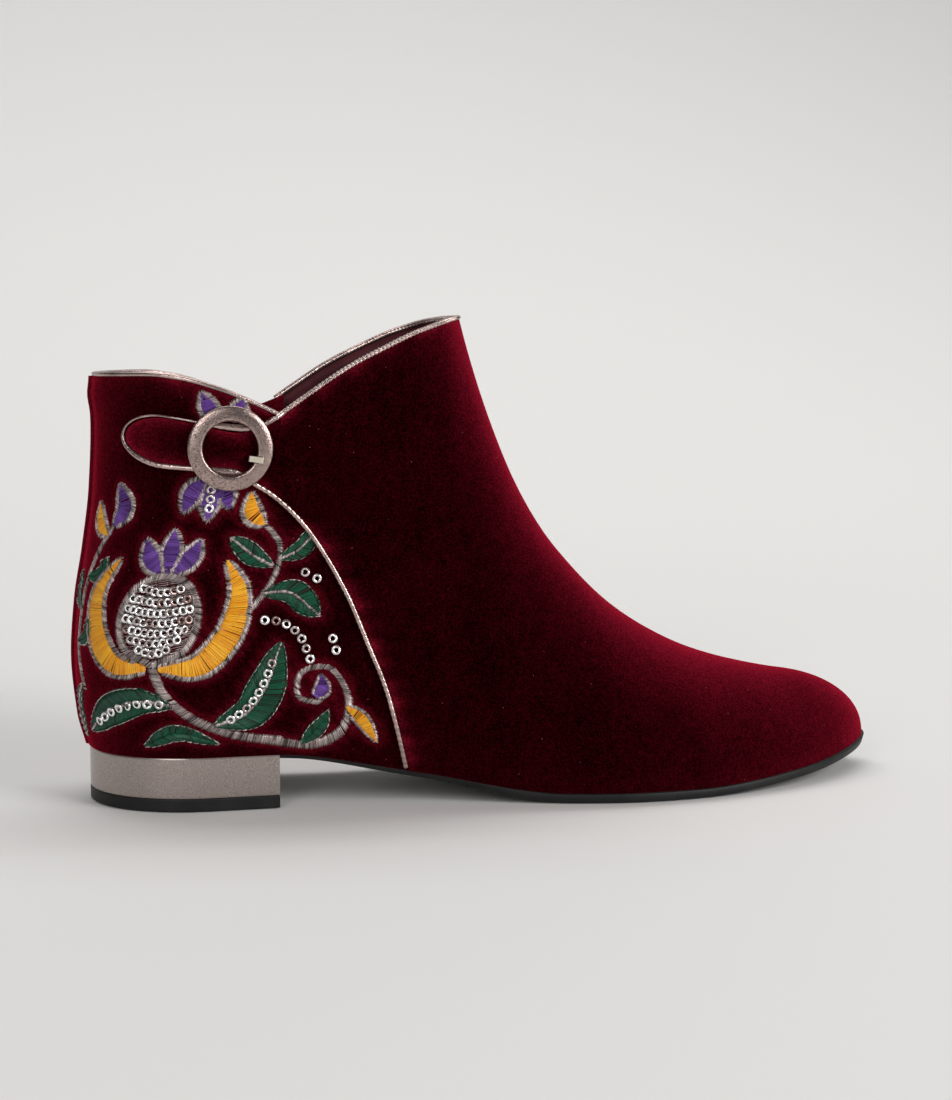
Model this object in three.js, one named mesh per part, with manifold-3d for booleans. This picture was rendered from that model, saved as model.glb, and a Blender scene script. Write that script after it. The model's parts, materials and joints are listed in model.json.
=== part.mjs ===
// Ankle boot for the right foot: a velvet upper with a side strap, a ring buckle and an inner zip, on a low heel.
// Millimetres. +X runs to the toe, -Y is the outer side with the buckle, +Z is up. Heights called h count
// from the feather line, the edge where the upper meets the sole.
import * as THREE from 'three';
import { mergeVertices } from 'three/addons/utils/BufferGeometryUtils.js';
import Module from 'manifold-3d';

const wasm = await Module();
wasm.setup();

// Driving dimensions
const LENGTH = 258; // the last, from the back of the counter to the toe
const BALL_X = 172; // widest place of the foot
const WALL = 2; // velvet, stiffener and lining together
const LAP = 1; // the vamp lies this much over the quarter
const GAP = 0.3; // clearance between neighbouring pieces
const HEEL_HEIGHT = 16.4;
const HEEL_BREAST = 60; // front face of the heel
const TOP_PIECE_HEIGHT = 4;
const BINDING_HEIGHT = 2.3;
const PIPING_RADIUS = 0.75;
const NOSE_LENGTH = 27; // the toe's front is rounded over this length
const TOE_FULLNESS = 2.2;
const TOE_POINT = 0.62;
const OUTER = -1; // sign of Y on the buckle side
const INNER = 1; // sign of Y on the zip side

// The last from heel to toe: greatest half width, sideways swing of its middle, share by which the wall
// tucks in at the feather line, and the height over which it does so.
const PLAN = [
  { x: 0, half: 32, swing: 0, tuck: 0.1, tuckHeight: 26 },
  { x: 35, half: 32, swing: 0, tuck: 0.1, tuckHeight: 26 },
  { x: 62, half: 31, swing: -0.4, tuck: 0.11, tuckHeight: 24 },
  { x: 98, half: 30.5, swing: -2, tuck: 0.12, tuckHeight: 20 },
  { x: 132, half: 36, swing: -1.6, tuck: 0.08, tuckHeight: 14 },
  { x: 172, half: 43, swing: 0, tuck: 0.05, tuckHeight: 12 },
  { x: 215, half: 43, swing: 4, tuck: 0.04, tuckHeight: 10 },
  { x: 258, half: 43, swing: 7, tuck: 0.04, tuckHeight: 10 },
];

// The back seam from the heel seat up to the collar, the width of the leg at that height against PLAN,
// and the length over which the back is rounded.
const BACK = [
  { h: 0, x: 4, girth: 1, round: 33 },
  { h: 10, x: 1.5, girth: 1, round: 33 },
  { h: 28, x: 0, girth: 1, round: 33 },
  { h: 45, x: 1.2, girth: 0.97, round: 34 },
  { h: 62, x: 4, girth: 0.93, round: 36 },
  { h: 80, x: 6.3, girth: 0.92, round: 38 },
  { h: 100, x: 7.2, girth: 0.94, round: 40 },
  { h: 140, x: 6, girth: 1, round: 42 },
];

// Height of the ridge along the middle of the vamp and instep. Behind the instep it runs on far above
// the collar, so that the leg's walls stand open.
const RIDGE = [
  { x: 0, h: 900 },
  { x: 60, h: 500 },
  { x: 100, h: 240 },
  { x: 112, h: 172 },
  { x: 118, h: 143 },
  { x: 128, h: 112 },
  { x: 138, h: 90 },
  { x: 150, h: 72 },
  { x: 170, h: 52 },
  { x: 190, h: 40 },
  { x: 215, h: 30 },
  { x: 236, h: 24 },
  { x: 258, h: 20 },
];

// The sole along the foot: its underside above the floor and its thickness.
const SOLE = [
  { x: 0, ground: 14.8, thick: 1.6 },
  { x: 58, ground: 14.8, thick: 1.6 },
  { x: 103, ground: 7.4, thick: 2.2 },
  { x: 148, ground: 0, thick: 3 },
  { x: 188, ground: 0, thick: 3 },
  { x: 225, ground: 2.5, thick: 3 },
  { x: 262, ground: 8, thick: 3 },
];

// How far the sole's edge stands out from the feather line, and how far its underside is bevelled in.
const SOLE_EDGE = [
  { x: 0, margin: -2.3, bevel: 0 },
  { x: 60, margin: -2.3, bevel: 0 },
  { x: 72, margin: -0.8, bevel: 2 },
  { x: 110, margin: 0.4, bevel: 2.4 },
  { x: 140, margin: 1.8, bevel: 0.6 },
  { x: 258, margin: 1.8, bevel: 0.6 },
];

// The collar's edge on the quarter and on the vamp; they meet in a notch on each side.
const NOTCH = { x: 61, z: 119.5 };
const BACK_TOPLINE = [
  { x: 0, z: 131.4 },
  { x: 22, z: 131.8 },
  { x: 32, z: 130.6 },
  { x: 42, z: 127.8 },
  { x: 52, z: 123.8 },
  { x: NOTCH.x, z: NOTCH.z },
];
const FRONT_TOPLINE = [
  { x: NOTCH.x, z: NOTCH.z },
  { x: 72, z: 127.2 },
  { x: 82, z: 133.8 },
  { x: 92.4, z: 139.2 },
  { x: 105, z: 144.8 },
  { x: 119, z: 148.5 },
  { x: 140, z: 149 },
];

// The line where the vamp's edge lies on the quarter, on the outer side, and the zip's line on the inner side.
const OUTER_SEAM = [
  { z: 8, x: 100.5 },
  { z: 38, x: 92.4 },
  { z: 49, x: 88 },
  { z: 64, x: 82 },
  { z: 82, x: 72 },
  { z: 90, x: 65.5 },
  { z: 96, x: 61.2 },
  { z: 108, x: 60 },
  { z: NOTCH.z, x: NOTCH.x },
];
const INNER_SEAM = [
  { z: 8, x: 90 },
  { z: 35, x: 82.6 },
  { z: 64, x: 75 },
  { z: 98, x: 66 },
  { z: NOTCH.z, x: NOTCH.x },
];

// The strap from its tip to its root on the vamp: height of its middle and half its width.
const STRAP_TIP = 16.9;
const STRAP_TIP_ROUND = 6.3;
const STRAP_THICKNESS = 1.3;
const STRAP = [
  { x: 16.9, middle: 113, half: 6.3 },
  { x: 30, middle: 111, half: 6.3 },
  { x: 46, middle: 108.8, half: 6.3 },
  { x: 52, middle: 107.8, half: 6.6 },
  { x: 57, middle: 107.2, half: 8.4 },
  { x: 60, middle: 107, half: 9.6 },
];

// Ring buckle and its prong
const RING = { x: 46, z: 109.4, outer: 12.6, inner: 8, thick: 2.5, lift: 2.25 };
const PRONG = { from: 5.6, to: 10, width: 1.8, thick: 1, leg: 1.2, drop: 2 };

// Zip: recessed tape, coil, slider and hinged pull
const ZIP = { bottom: 36, slot: 9.6, tape: 9, tapeThick: 1, tapeSink: 1.6, coil: 4, coilPitch: 2.4 };
const SLIDER = { z: 114, width: 8, length: 11, plate: 1.4, post: 2, archWidth: 2.4, archLength: 7.2, archHeight: 3.4 };
const PULL = { length: 22, top: 5.4, bottom: 7, thick: 1.2, hole: 3.2, holeLength: 4.8 };

const clamp = THREE.MathUtils.clamp;

// A smooth curve through a table's rows that never swings past them, level beyond its ends.
function curve(rows, from, to) {
  const xs = rows.map((row) => row[from]);
  const ys = rows.map((row) => row[to]);
  const last = xs.length - 1;
  const rise = xs.slice(1).map((x, i) => (ys[i + 1] - ys[i]) / (x - xs[i]));
  const slope = xs.map((_, i) => {
    if (i === 0) return rise[0];
    if (i === last) return rise[last - 1];
    const product = rise[i - 1] * rise[i];
    return product > 0 ? (2 * product) / (rise[i - 1] + rise[i]) : 0;
  });
  return (value) => {
    const x = clamp(value, xs[0], xs[last]);
    let i = 0;
    while (i < last - 1 && x > xs[i + 1]) i += 1;
    const width = xs[i + 1] - xs[i];
    const t = (x - xs[i]) / width;
    const start = ys[i] * (1 + 2 * t) * (1 - t) ** 2 + width * slope[i] * t * (1 - t) ** 2;
    const end = ys[i + 1] * t * t * (3 - 2 * t) - width * slope[i + 1] * t * t * (1 - t);
    return start + end;
  };
}

// The place between low and high where a rising function passes zero.
function crossing(rising, low, high) {
  let a = low;
  let b = high;
  for (let step = 0; step < 40; step += 1) {
    const middle = (a + b) / 2;
    if (rising(middle) < 0) a = middle;
    else b = middle;
  }
  return (a + b) / 2;
}

const planHalf = curve(PLAN, 'x', 'half');
const planSwing = curve(PLAN, 'x', 'swing');
const planTuck = curve(PLAN, 'x', 'tuck');
const planTuckHeight = curve(PLAN, 'x', 'tuckHeight');
const backX = curve(BACK, 'h', 'x');
const backGirth = curve(BACK, 'h', 'girth');
const backRound = curve(BACK, 'h', 'round');
const ridgeTable = curve(RIDGE, 'x', 'h');
const soleGround = curve(SOLE, 'x', 'ground');
const soleThick = curve(SOLE, 'x', 'thick');
const soleMargin = curve(SOLE_EDGE, 'x', 'margin');
const soleBevel = curve(SOLE_EDGE, 'x', 'bevel');
const backTopline = curve(BACK_TOPLINE, 'x', 'z');
const frontTopline = curve(FRONT_TOPLINE, 'x', 'z');
const outerSeam = curve(OUTER_SEAM, 'z', 'x');
const innerSeam = curve(INNER_SEAM, 'z', 'x');
const strapMiddle = curve(STRAP, 'x', 'middle');
const strapHalf = curve(STRAP, 'x', 'half');

// Height of the feather line above the floor.
function feather(x) {
  return soleGround(x) + soleThick(x);
}

function ridge(x) {
  const nose = clamp((LENGTH - x) / NOSE_LENGTH, 0, 1);
  return ridgeTable(x) * Math.sqrt(1 - (1 - nose) ** 2);
}

function ridgeX(h) {
  return crossing((x) => h - ridge(x), HEEL_BREAST, LENGTH);
}

// Half the width of the last at a place along the foot and a height above the feather line.
function halfWidth(x, h) {
  const heel = clamp((x - backX(h)) / backRound(h), 0, 1);
  const toe = clamp((x - BALL_X) / (LENGTH - BALL_X), 0, 1);
  const ends = Math.sqrt(1 - (1 - heel) ** 2) * (1 - toe ** TOE_FULLNESS) ** TOE_POINT;
  const arch = Math.sqrt(clamp(1 - (h / Math.max(ridge(x), 1e-6)) ** 2, 0, 1));
  const rise = Math.sin((clamp(h / planTuckHeight(x), 0, 1) * Math.PI) / 2);
  return planHalf(x) * ends * arch * (1 - planTuck(x) * (1 - rise)) * backGirth(h);
}

// A point of the last's skin: angle 0 at the back seam, PI at the ridge, negative on the inner side.
function around(angle, h) {
  const from = backX(h);
  const x = from + ((ridgeX(h) - from) * (1 - Math.cos(angle))) / 2;
  const side = Math.sin(angle) < 0 ? INNER : OUTER;
  return new THREE.Vector3(x, planSwing(x) + side * halfWidth(x, h), h + feather(x));
}

// Outward direction of the skin there, kept level where the wall tucks in.
function aroundNormal(angle, h) {
  const turn = 0.04;
  const along = around(angle + turn, h).sub(around(angle - turn, h));
  const up = around(angle, h + 0.5).sub(around(angle, Math.max(h - 0.5, 0)));
  const normal = along.cross(up);
  normal.z = Math.max(normal.z, 0);
  return normal.normalize();
}

// A point of one side's skin by its place in the side view, and the outward direction there.
function onWall(side, x, z) {
  return new THREE.Vector3(x, planSwing(x) + side * halfWidth(x, z - feather(x)), z);
}

function wallNormal(side, x, z, span = 1) {
  const along = onWall(side, x + span, z).sub(onWall(side, x - span, z));
  const up = onWall(side, x, z + span).sub(onWall(side, x, z - span));
  return along.cross(up).multiplyScalar(-side).normalize();
}

// Closed geometry from loose triangles: corners are merged, flat slivers dropped, faces turned outwards.
function closed(corners) {
  const loose = new THREE.BufferGeometry();
  loose.setAttribute('position', new THREE.Float32BufferAttribute(corners, 3));
  return welded(loose);
}

function welded(geometry) {
  const bare = geometry.clone();
  for (const name of ['normal', 'uv']) bare.deleteAttribute(name);
  const merged = mergeVertices(bare, 1e-4);
  const place = merged.attributes.position;
  const index = merged.index.array;
  const corner = [0, 1, 2].map(() => new THREE.Vector3());
  const kept = [];
  let volume = 0;
  for (let i = 0; i < index.length; i += 3) {
    const [a, b, c] = [index[i], index[i + 1], index[i + 2]];
    if (a === b || b === c || a === c) continue;
    kept.push(a, b, c);
    [a, b, c].forEach((id, k) => corner[k].fromBufferAttribute(place, id));
    volume += corner[0].dot(corner[1].clone().cross(corner[2]));
  }
  merged.setIndex(volume < 0 ? kept.reverse() : kept);
  return merged;
}

function quad(corners, a, b, c, d) {
  for (const point of [a, b, c, a, c, d]) corners.push(point.x, point.y, point.z);
}

// A solid between two grids of points; a ring closes on itself along its rows.
function slab(low, high, ring = false) {
  const corners = [];
  const rows = low.length - 1;
  const columns = low[0].length;
  const spans = ring ? columns : columns - 1;
  for (let j = 0; j < spans; j += 1) {
    const k = (j + 1) % columns;
    for (let i = 0; i < rows; i += 1) {
      quad(corners, high[i][j], high[i][k], high[i + 1][k], high[i + 1][j]);
      quad(corners, low[i][k], low[i][j], low[i + 1][j], low[i + 1][k]);
    }
    quad(corners, low[0][j], low[0][k], high[0][k], high[0][j]);
    quad(corners, high[rows][j], high[rows][k], low[rows][k], low[rows][j]);
  }
  const edges = ring ? [] : [[0, 1], [columns - 1, -1]];
  for (const [j, turn] of edges) {
    for (let i = 0; i < rows; i += 1) {
      const [near, far] = turn > 0 ? [i, i + 1] : [i + 1, i];
      quad(corners, low[near][j], high[near][j], high[far][j], low[far][j]);
    }
  }
  return closed(corners);
}

// A bar of one section run through frames; the section's points are [across, out].
function bar(frames, section) {
  const loops = frames.map(({ at, across, out }) =>
    section.map(([a, b]) => at.clone().addScaledVector(across, a).addScaledVector(out, b)));
  const corners = [];
  for (let i = 0; i + 1 < loops.length; i += 1) {
    section.forEach((_, j) => {
      const k = (j + 1) % section.length;
      quad(corners, loops[i][j], loops[i][k], loops[i + 1][k], loops[i + 1][j]);
    });
  }
  const last = loops.length - 1;
  for (let j = 1; j + 1 < section.length; j += 1) {
    quad(corners, loops[0][0], loops[0][j + 1], loops[0][j], loops[0][0]);
    quad(corners, loops[last][0], loops[last][j], loops[last][j + 1], loops[last][0]);
  }
  return closed(corners);
}

// Frames along a path on one side's skin, lifted off it; across points to the left of the way there.
function wallFrames(side, path, lift) {
  return path.map(({ x, z }, i) => {
    const before = path[Math.max(i - 1, 0)];
    const after = path[Math.min(i + 1, path.length - 1)];
    const out = wallNormal(side, x, z);
    const way = onWall(side, after.x, after.z).sub(onWall(side, before.x, before.z));
    const across = out.clone().cross(way).normalize();
    return { at: onWall(side, x, z).addScaledVector(out, lift), across, out };
  });
}

function roundSection(radius, sides) {
  return Array.from({ length: sides }, (_, i) => {
    const angle = (2 * Math.PI * (i + 0.5)) / sides;
    return [radius * Math.cos(angle), radius * Math.sin(angle)];
  });
}

function shares(count, power = 1) {
  return Array.from({ length: count + 1 }, (_, i) => (i / count) ** power);
}

function manifold(geometry) {
  const clean = welded(geometry);
  const vertProperties = Float32Array.from(clean.attributes.position.array);
  const triVerts = Uint32Array.from(clean.index.array);
  return new wasm.Manifold(new wasm.Mesh({ numProp: 3, vertProperties, triVerts }));
}

function fromManifold(body) {
  const mesh = body.getMesh();
  const geometry = new THREE.BufferGeometry();
  geometry.setAttribute('position', new THREE.Float32BufferAttribute(mesh.vertProperties, 3));
  geometry.setIndex(Array.from(mesh.triVerts));
  return geometry;
}

function finish(color, roughness, metalness) {
  return new THREE.MeshStandardMaterial({ color, roughness, metalness });
}

const velvet = finish('#4d0a1d', 0.9, 0);
const pewterLeather = finish('#8a807b', 0.42, 0.7);
const nickel = finish('#c3bcb2', 0.25, 1);
const blackNickel = finish('#1b1a1c', 0.2, 1);
const zipTape = finish('#2a0d16', 0.85, 0);
const insoleLeather = finish('#4b2b33', 0.6, 0);
const soleRubber = finish('#141314', 0.6, 0);

const boot = new THREE.Group();

function add(parent, name, geometry, material) {
  const mesh = new THREE.Mesh(geometry, material);
  mesh.name = name;
  parent.add(mesh);
  return mesh;
}

// Upper: columns of points run from the feather line to the collar. Each side has a quarter from the back
// seam to the seam line and a vamp from there to the ridge.
const COLUMNS_PER_PANEL = 13;
const LEVELS = 26;
const SEAM_RUN = 0.2; // half the width of the step at the vamp's edge

function panelAngle({ side, vamp, share }, h) {
  const seam = side === OUTER ? outerSeam : innerSeam;
  let x = seam(h + feather(HEEL_BREAST));
  for (let pass = 0; pass < 4; pass += 1) x = seam(h + feather(x));
  x += vamp ? SEAM_RUN : -SEAM_RUN;
  const from = backX(h);
  const seamAngle = Math.acos(clamp(1 - (2 * (x - from)) / (ridgeX(h) - from), -1, 1));
  const angle = vamp ? seamAngle + share * (Math.PI - seamAngle) : share * seamAngle;
  return side === OUTER ? angle : -angle;
}

// Height above the feather line where a column meets the collar's edge, less what the binding takes up.
function columnTop(column) {
  const topline = column.vamp ? frontTopline : backTopline;
  return crossing((h) => {
    const point = around(panelAngle(column, h), h);
    return point.z - topline(point.x) + BINDING_HEIGHT + GAP;
  }, 40, 170);
}

function panel(side, vamp, list) {
  return list.map((share) => ({ side, vamp, share }));
}

const forwards = shares(COLUMNS_PER_PANEL);
const backwards = forwards.slice(0, -1).reverse();
const columns = [
  ...panel(OUTER, false, forwards),
  ...panel(OUTER, true, forwards),
  ...panel(INNER, true, backwards),
  ...panel(INNER, false, forwards.slice(1).reverse()),
];

function upperShell() {
  const outside = [];
  const inside = [];
  const tops = columns.map(columnTop);
  for (const share of shares(LEVELS, 1.5)) {
    const places = columns.map((column, j) => {
      const h = GAP + (tops[j] - GAP) * share;
      const angle = panelAngle(column, h);
      return { point: around(angle, h), normal: aroundNormal(angle, h), lap: column.vamp ? LAP : 0 };
    });
    outside.push(places.map(({ point, normal, lap }) => point.clone().addScaledVector(normal, lap)));
    inside.push(places.map(({ point, normal }) => point.clone().addScaledVector(normal, -WALL)));
  }
  return slab(inside, outside, true);
}

function zipPath(bottom, top, count) {
  return shares(count).map((share) => {
    const z = bottom + (top - bottom) * share;
    return { x: innerSeam(z), z };
  });
}

const slotReach = 8;
const slotSection = [[-ZIP.slot / 2, -slotReach], [ZIP.slot / 2, -slotReach], [ZIP.slot / 2, slotReach],
  [-ZIP.slot / 2, slotReach]];
const zipSlot = bar(wallFrames(INNER, zipPath(ZIP.bottom, NOTCH.z + 12, 16), 0), slotSection);
const upper = fromManifold(manifold(upperShell()).subtract(manifold(zipSlot)));
add(boot, 'upper', upper, velvet);

// Collar bindings: rolled leather beads that cap the wall's top edge.
const BINDING_SIDE = 1.55; // half its width on the quarter
const BINDING_CORNER = 0.7;

function bindingSection(half) {
  const [low, high] = [GAP, GAP + BINDING_HEIGHT];
  return [[-half, low + 0.3], [-half + 0.3, low], [half - 0.3, low], [half, low + 0.3],
    [half, high - BINDING_CORNER], [half - BINDING_CORNER, high], [BINDING_CORNER - half, high],
    [-half, high - BINDING_CORNER]];
}

function binding(list, half) {
  const rims = list.map((column) => {
    const h = columnTop(column);
    const angle = panelAngle(column, h);
    const out = aroundNormal(angle, h);
    const middle = ((column.vamp ? LAP : 0) - WALL) / 2;
    return { at: around(angle, h).addScaledVector(out, middle), out };
  });
  const frames = rims.map(({ at, out }, i) => {
    const way = rims[Math.min(i + 1, rims.length - 1)].at.clone().sub(rims[Math.max(i - 1, 0)].at).normalize();
    const across = out.clone().addScaledVector(way, -out.dot(way)).normalize();
    const up = way.clone().cross(across);
    return { at, across, out: up.z < 0 ? up.negate() : up };
  });
  return bar(frames, bindingSection(half));
}

// The bindings stop short of the notch on the outer side and of the zip's slot on the inner side.
const BACK_BINDING_SHARE = { outer: 0.955, inner: 0.925 };
const FRONT_BINDING_SHARE = { outer: 0.035, inner: 0.085 };

function between(from, to, count) {
  return shares(count).map((share) => from + (to - from) * share);
}

add(boot, 'back_collar_binding', binding([
  ...panel(OUTER, false, between(BACK_BINDING_SHARE.outer, 0, 14)),
  ...panel(INNER, false, between(0, BACK_BINDING_SHARE.inner, 14).slice(1)),
], BINDING_SIDE), pewterLeather);
add(boot, 'front_collar_binding', binding([
  ...panel(OUTER, true, between(FRONT_BINDING_SHARE.outer, 1, 14)),
  ...panel(INNER, true, between(1, FRONT_BINDING_SHARE.inner, 14).slice(1)),
], BINDING_SIDE + LAP / 2), pewterLeather);

// Strap: the vamp's tongue that lies back over the quarter, puffed up inside the ring.
const STRAP_PUFF = 1.5;
const STRAP_PUFF_RADIUS = 7.4;

function strapPlace(along, across) {
  const root = STRAP[STRAP.length - 1];
  const end = outerSeam(root.middle + across * root.half) - SEAM_RUN - GAP;
  const x = STRAP_TIP + (end - STRAP_TIP) * (1 - Math.cos((along * Math.PI) / 2));
  const tip = clamp((x - STRAP_TIP) / STRAP_TIP_ROUND, 0, 1);
  const half = strapHalf(x) * Math.sqrt(1 - (1 - tip) ** 2);
  return { x, z: strapMiddle(x) + across * half };
}

function strapGrid(thick) {
  return shares(20).map((along) => shares(8).map((share) => {
    const { x, z } = strapPlace(along, 2 * share - 1);
    const reach = clamp(Math.hypot(x - RING.x, z - RING.z) / STRAP_PUFF_RADIUS, 0, 1);
    const puff = thick > 0 ? STRAP_PUFF * (1 - reach ** 2) ** 2 : 0;
    return onWall(OUTER, x, z).addScaledVector(wallNormal(OUTER, x, z), GAP + thick + puff);
  }));
}

add(boot, 'strap', slab(strapGrid(0), strapGrid(STRAP_THICKNESS)), velvet);

// Vamp edge piping: one rolled edge from the sole up the seam, round the strap's tip and back to the notch.
const PIPING_STEP = SEAM_RUN + GAP + PIPING_RADIUS;
const STRAP_MARGIN = GAP + PIPING_RADIUS + 0.1; // from the strap's edge to the middle of its piping

function pipingPath() {
  const seamRows = [11.8, 24, 38, 49, 64, 76, 84, 89.5].map((z) => ({ x: outerSeam(z) - PIPING_STEP, z }));
  const bend = [{ x: 58.6, z: 95 }, { x: 53, z: 98.7 }];
  const edge = (x, sign) => ({ x, z: strapMiddle(x) + sign * (STRAP_TIP_ROUND + STRAP_MARGIN) });
  const tipX = STRAP_TIP + STRAP_TIP_ROUND;
  const tip = between(-75, 75, 10).map((degrees) => {
    const angle = THREE.MathUtils.degToRad(degrees);
    const radius = STRAP_TIP_ROUND + STRAP_MARGIN;
    const x = tipX - radius * Math.cos(angle);
    return { x, z: strapMiddle(x) + radius * Math.sin(angle) };
  });
  const low = [46, 38, 31].map((x) => edge(x, -1));
  const high = [31, 38, 46, 51].map((x) => edge(x, 1));
  const ends = [{ x: 56, z: 116.2 }, { x: 59, z: 117.4 }];
  const rows = [...seamRows, ...bend, ...low, ...tip, ...high, ...ends];
  const line = new THREE.CatmullRomCurve3(rows.map(({ x, z }) => new THREE.Vector3(x, 0, z)), false, 'centripetal');
  return line.getSpacedPoints(54).map(({ x, z }) => ({ x, z }));
}

add(boot, 'vamp_edge_piping',
  bar(wallFrames(OUTER, pipingPath(), GAP + PIPING_RADIUS), roundSection(PIPING_RADIUS, 8)), pewterLeather);

// Buckle: a flat leather-covered ring that lies on the strap, and the prong that comes up through the strap.
function wallGroup(side, x, z, way, lift, span) {
  const out = wallNormal(side, x, z, span);
  const across = way.clone().addScaledVector(out, -way.dot(out)).normalize();
  const group = new THREE.Group();
  group.quaternion.setFromRotationMatrix(new THREE.Matrix4().makeBasis(across, out, across.clone().cross(out)));
  group.position.copy(onWall(side, x, z)).addScaledVector(out, lift);
  boot.add(group);
  return group;
}

const towardsToe = new THREE.Vector3(1, 0, -0.14);
const buckle = wallGroup(OUTER, RING.x, RING.z, towardsToe, RING.lift, RING.outer);
const { inner, outer, thick } = RING;
const middleRadius = (inner + outer) / 2;
const ringProfile = [[inner, 0.3], [inner + 0.3, 0], [outer - 0.3, 0], [outer, 0.3], [outer, thick - 1],
  [outer - 0.7, thick - 0.3], [middleRadius, thick], [inner + 0.7, thick - 0.3], [inner, thick - 1], [inner, 0.3]];
const ring = new THREE.LatheGeometry(ringProfile.map(([r, y]) => new THREE.Vector2(r, y)), 40);
add(buckle, 'buckle', welded(ring), pewterLeather);

const prongLow = STRAP_THICKNESS + 2 * GAP - RING.lift;
const prongTop = thick + GAP + PRONG.thick;
const prongShape = new THREE.Shape([[PRONG.from, prongLow], [PRONG.from + PRONG.leg, prongLow],
  [PRONG.from + PRONG.leg, thick + GAP], [PRONG.to, thick + GAP], [PRONG.to, prongTop],
  [PRONG.from, prongTop]].map(([x, y]) => new THREE.Vector2(x, y)));
const prong = new THREE.ExtrudeGeometry(prongShape, { depth: PRONG.width, bevelEnabled: false });
add(buckle, 'buckle_prong', welded(prong), nickel).position.z = PRONG.drop - PRONG.width / 2;

// Zip: the tape lies sunk in the slot, with the coil on it, and the slider stands closed at the top.
const postBase = SLIDER.length / 2 - SLIDER.post - 0.5;
const zipTop = SLIDER.z + postBase - GAP;
const tapeEdge = [[-0.5, 0], [0.5, 0], [0.5, 1], [-0.5, 1]];
const tapeSection = tapeEdge.map(([a, b]) => [a * ZIP.tape, b * ZIP.tapeThick - ZIP.tapeSink]);
add(boot, 'zip_tape', bar(wallFrames(INNER, zipPath(ZIP.bottom + GAP, zipTop, 14), 0), tapeSection), zipTape);

const coilBase = ZIP.tapeThick - ZIP.tapeSink + GAP;
const coilCrest = 1.1;
const coilValley = 0.7;
const coilRibs = Math.round((2 * (zipTop - ZIP.bottom)) / ZIP.coilPitch);
const coilFrames = wallFrames(INNER, zipPath(ZIP.bottom + 2, zipTop, coilRibs), coilBase);
const coilGrid = (height) => coilFrames.map(({ at, across, out }, i) =>
  [-0.5, 0.5].map((share) => at.clone().addScaledVector(across, share * ZIP.coil).addScaledVector(out, height(i))));
add(boot, 'zip_coil', slab(coilGrid(() => 0), coilGrid((i) => (i % 2 ? coilCrest : coilValley))), blackNickel);

// Slider: two plates joined by a post above the coil, with an arch on the front plate that holds the pull.
const zipWay = onWall(INNER, innerSeam(SLIDER.z + 4), SLIDER.z + 4)
  .sub(onWall(INNER, innerSeam(SLIDER.z - 4), SLIDER.z - 4)).normalize();
const sliderOut = wallNormal(INNER, innerSeam(SLIDER.z), SLIDER.z, 4);
const slider = wallGroup(INNER, innerSeam(SLIDER.z), SLIDER.z, sliderOut.clone().cross(zipWay), 0, 4);
const frontPlate = coilBase + coilCrest + GAP;
const backPlate = -ZIP.tapeSink - GAP - SLIDER.plate;
const archFoot = frontPlate + SLIDER.plate;
const archWall = 1;
const archLeg = 1.4;

// A plate in the slider's own plane from an outline of [across, along] points, from one height to another.
function plate(outline, low, high, hole) {
  const shape = new THREE.Shape(outline.map(([a, b]) => new THREE.Vector2(a, b)));
  if (hole) shape.holes.push(new THREE.Path(hole.map(([a, b]) => new THREE.Vector2(a, b))));
  const geometry = new THREE.ExtrudeGeometry(shape, { depth: high - low, bevelEnabled: false });
  return geometry.rotateX(-Math.PI / 2).scale(1, 1, -1).translate(0, low, 0);
}

const [halfPlate, halfLength] = [SLIDER.width / 2, SLIDER.length / 2];
const plateOutline = [[-0.62 * halfPlate, -halfLength], [0.62 * halfPlate, -halfLength], [0.8 * halfPlate, 0],
  [halfPlate, 0.6 * halfLength], [0.55 * halfPlate, halfLength], [-0.55 * halfPlate, halfLength],
  [-halfPlate, 0.6 * halfLength], [-0.8 * halfPlate, 0]];
const postOutline = [[-1.3, postBase], [1.3, postBase], [1.3, postBase + SLIDER.post], [-1.3, postBase + SLIDER.post]];
const halfArch = SLIDER.archLength / 2;
const archTop = SLIDER.archHeight;
const archShape = new THREE.Shape([[-halfArch, -0.2], [-halfArch, archTop - 1], [-halfArch + 1, archTop],
  [halfArch - 1, archTop], [halfArch, archTop - 1], [halfArch, -0.2], [halfArch - archLeg, -0.2],
  [halfArch - archLeg, archTop - archWall], [archLeg - halfArch, archTop - archWall],
  [archLeg - halfArch, -0.2]].map(([along, out]) => new THREE.Vector2(along, out)));
const arch = new THREE.ExtrudeGeometry(archShape, { depth: SLIDER.archWidth, bevelEnabled: false });
arch.translate(0, 0, -SLIDER.archWidth / 2).rotateY(-Math.PI / 2).translate(0, archFoot, 0);
const sliderBody = manifold(plate(plateOutline, frontPlate, archFoot))
  .add(manifold(plate(plateOutline, backPlate, backPlate + SLIDER.plate)))
  .add(manifold(plate(postOutline, backPlate + 0.2, frontPlate + 0.2)))
  .add(manifold(arch));
add(slider, 'zip_slider', fromManifold(sliderBody), blackNickel);

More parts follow.
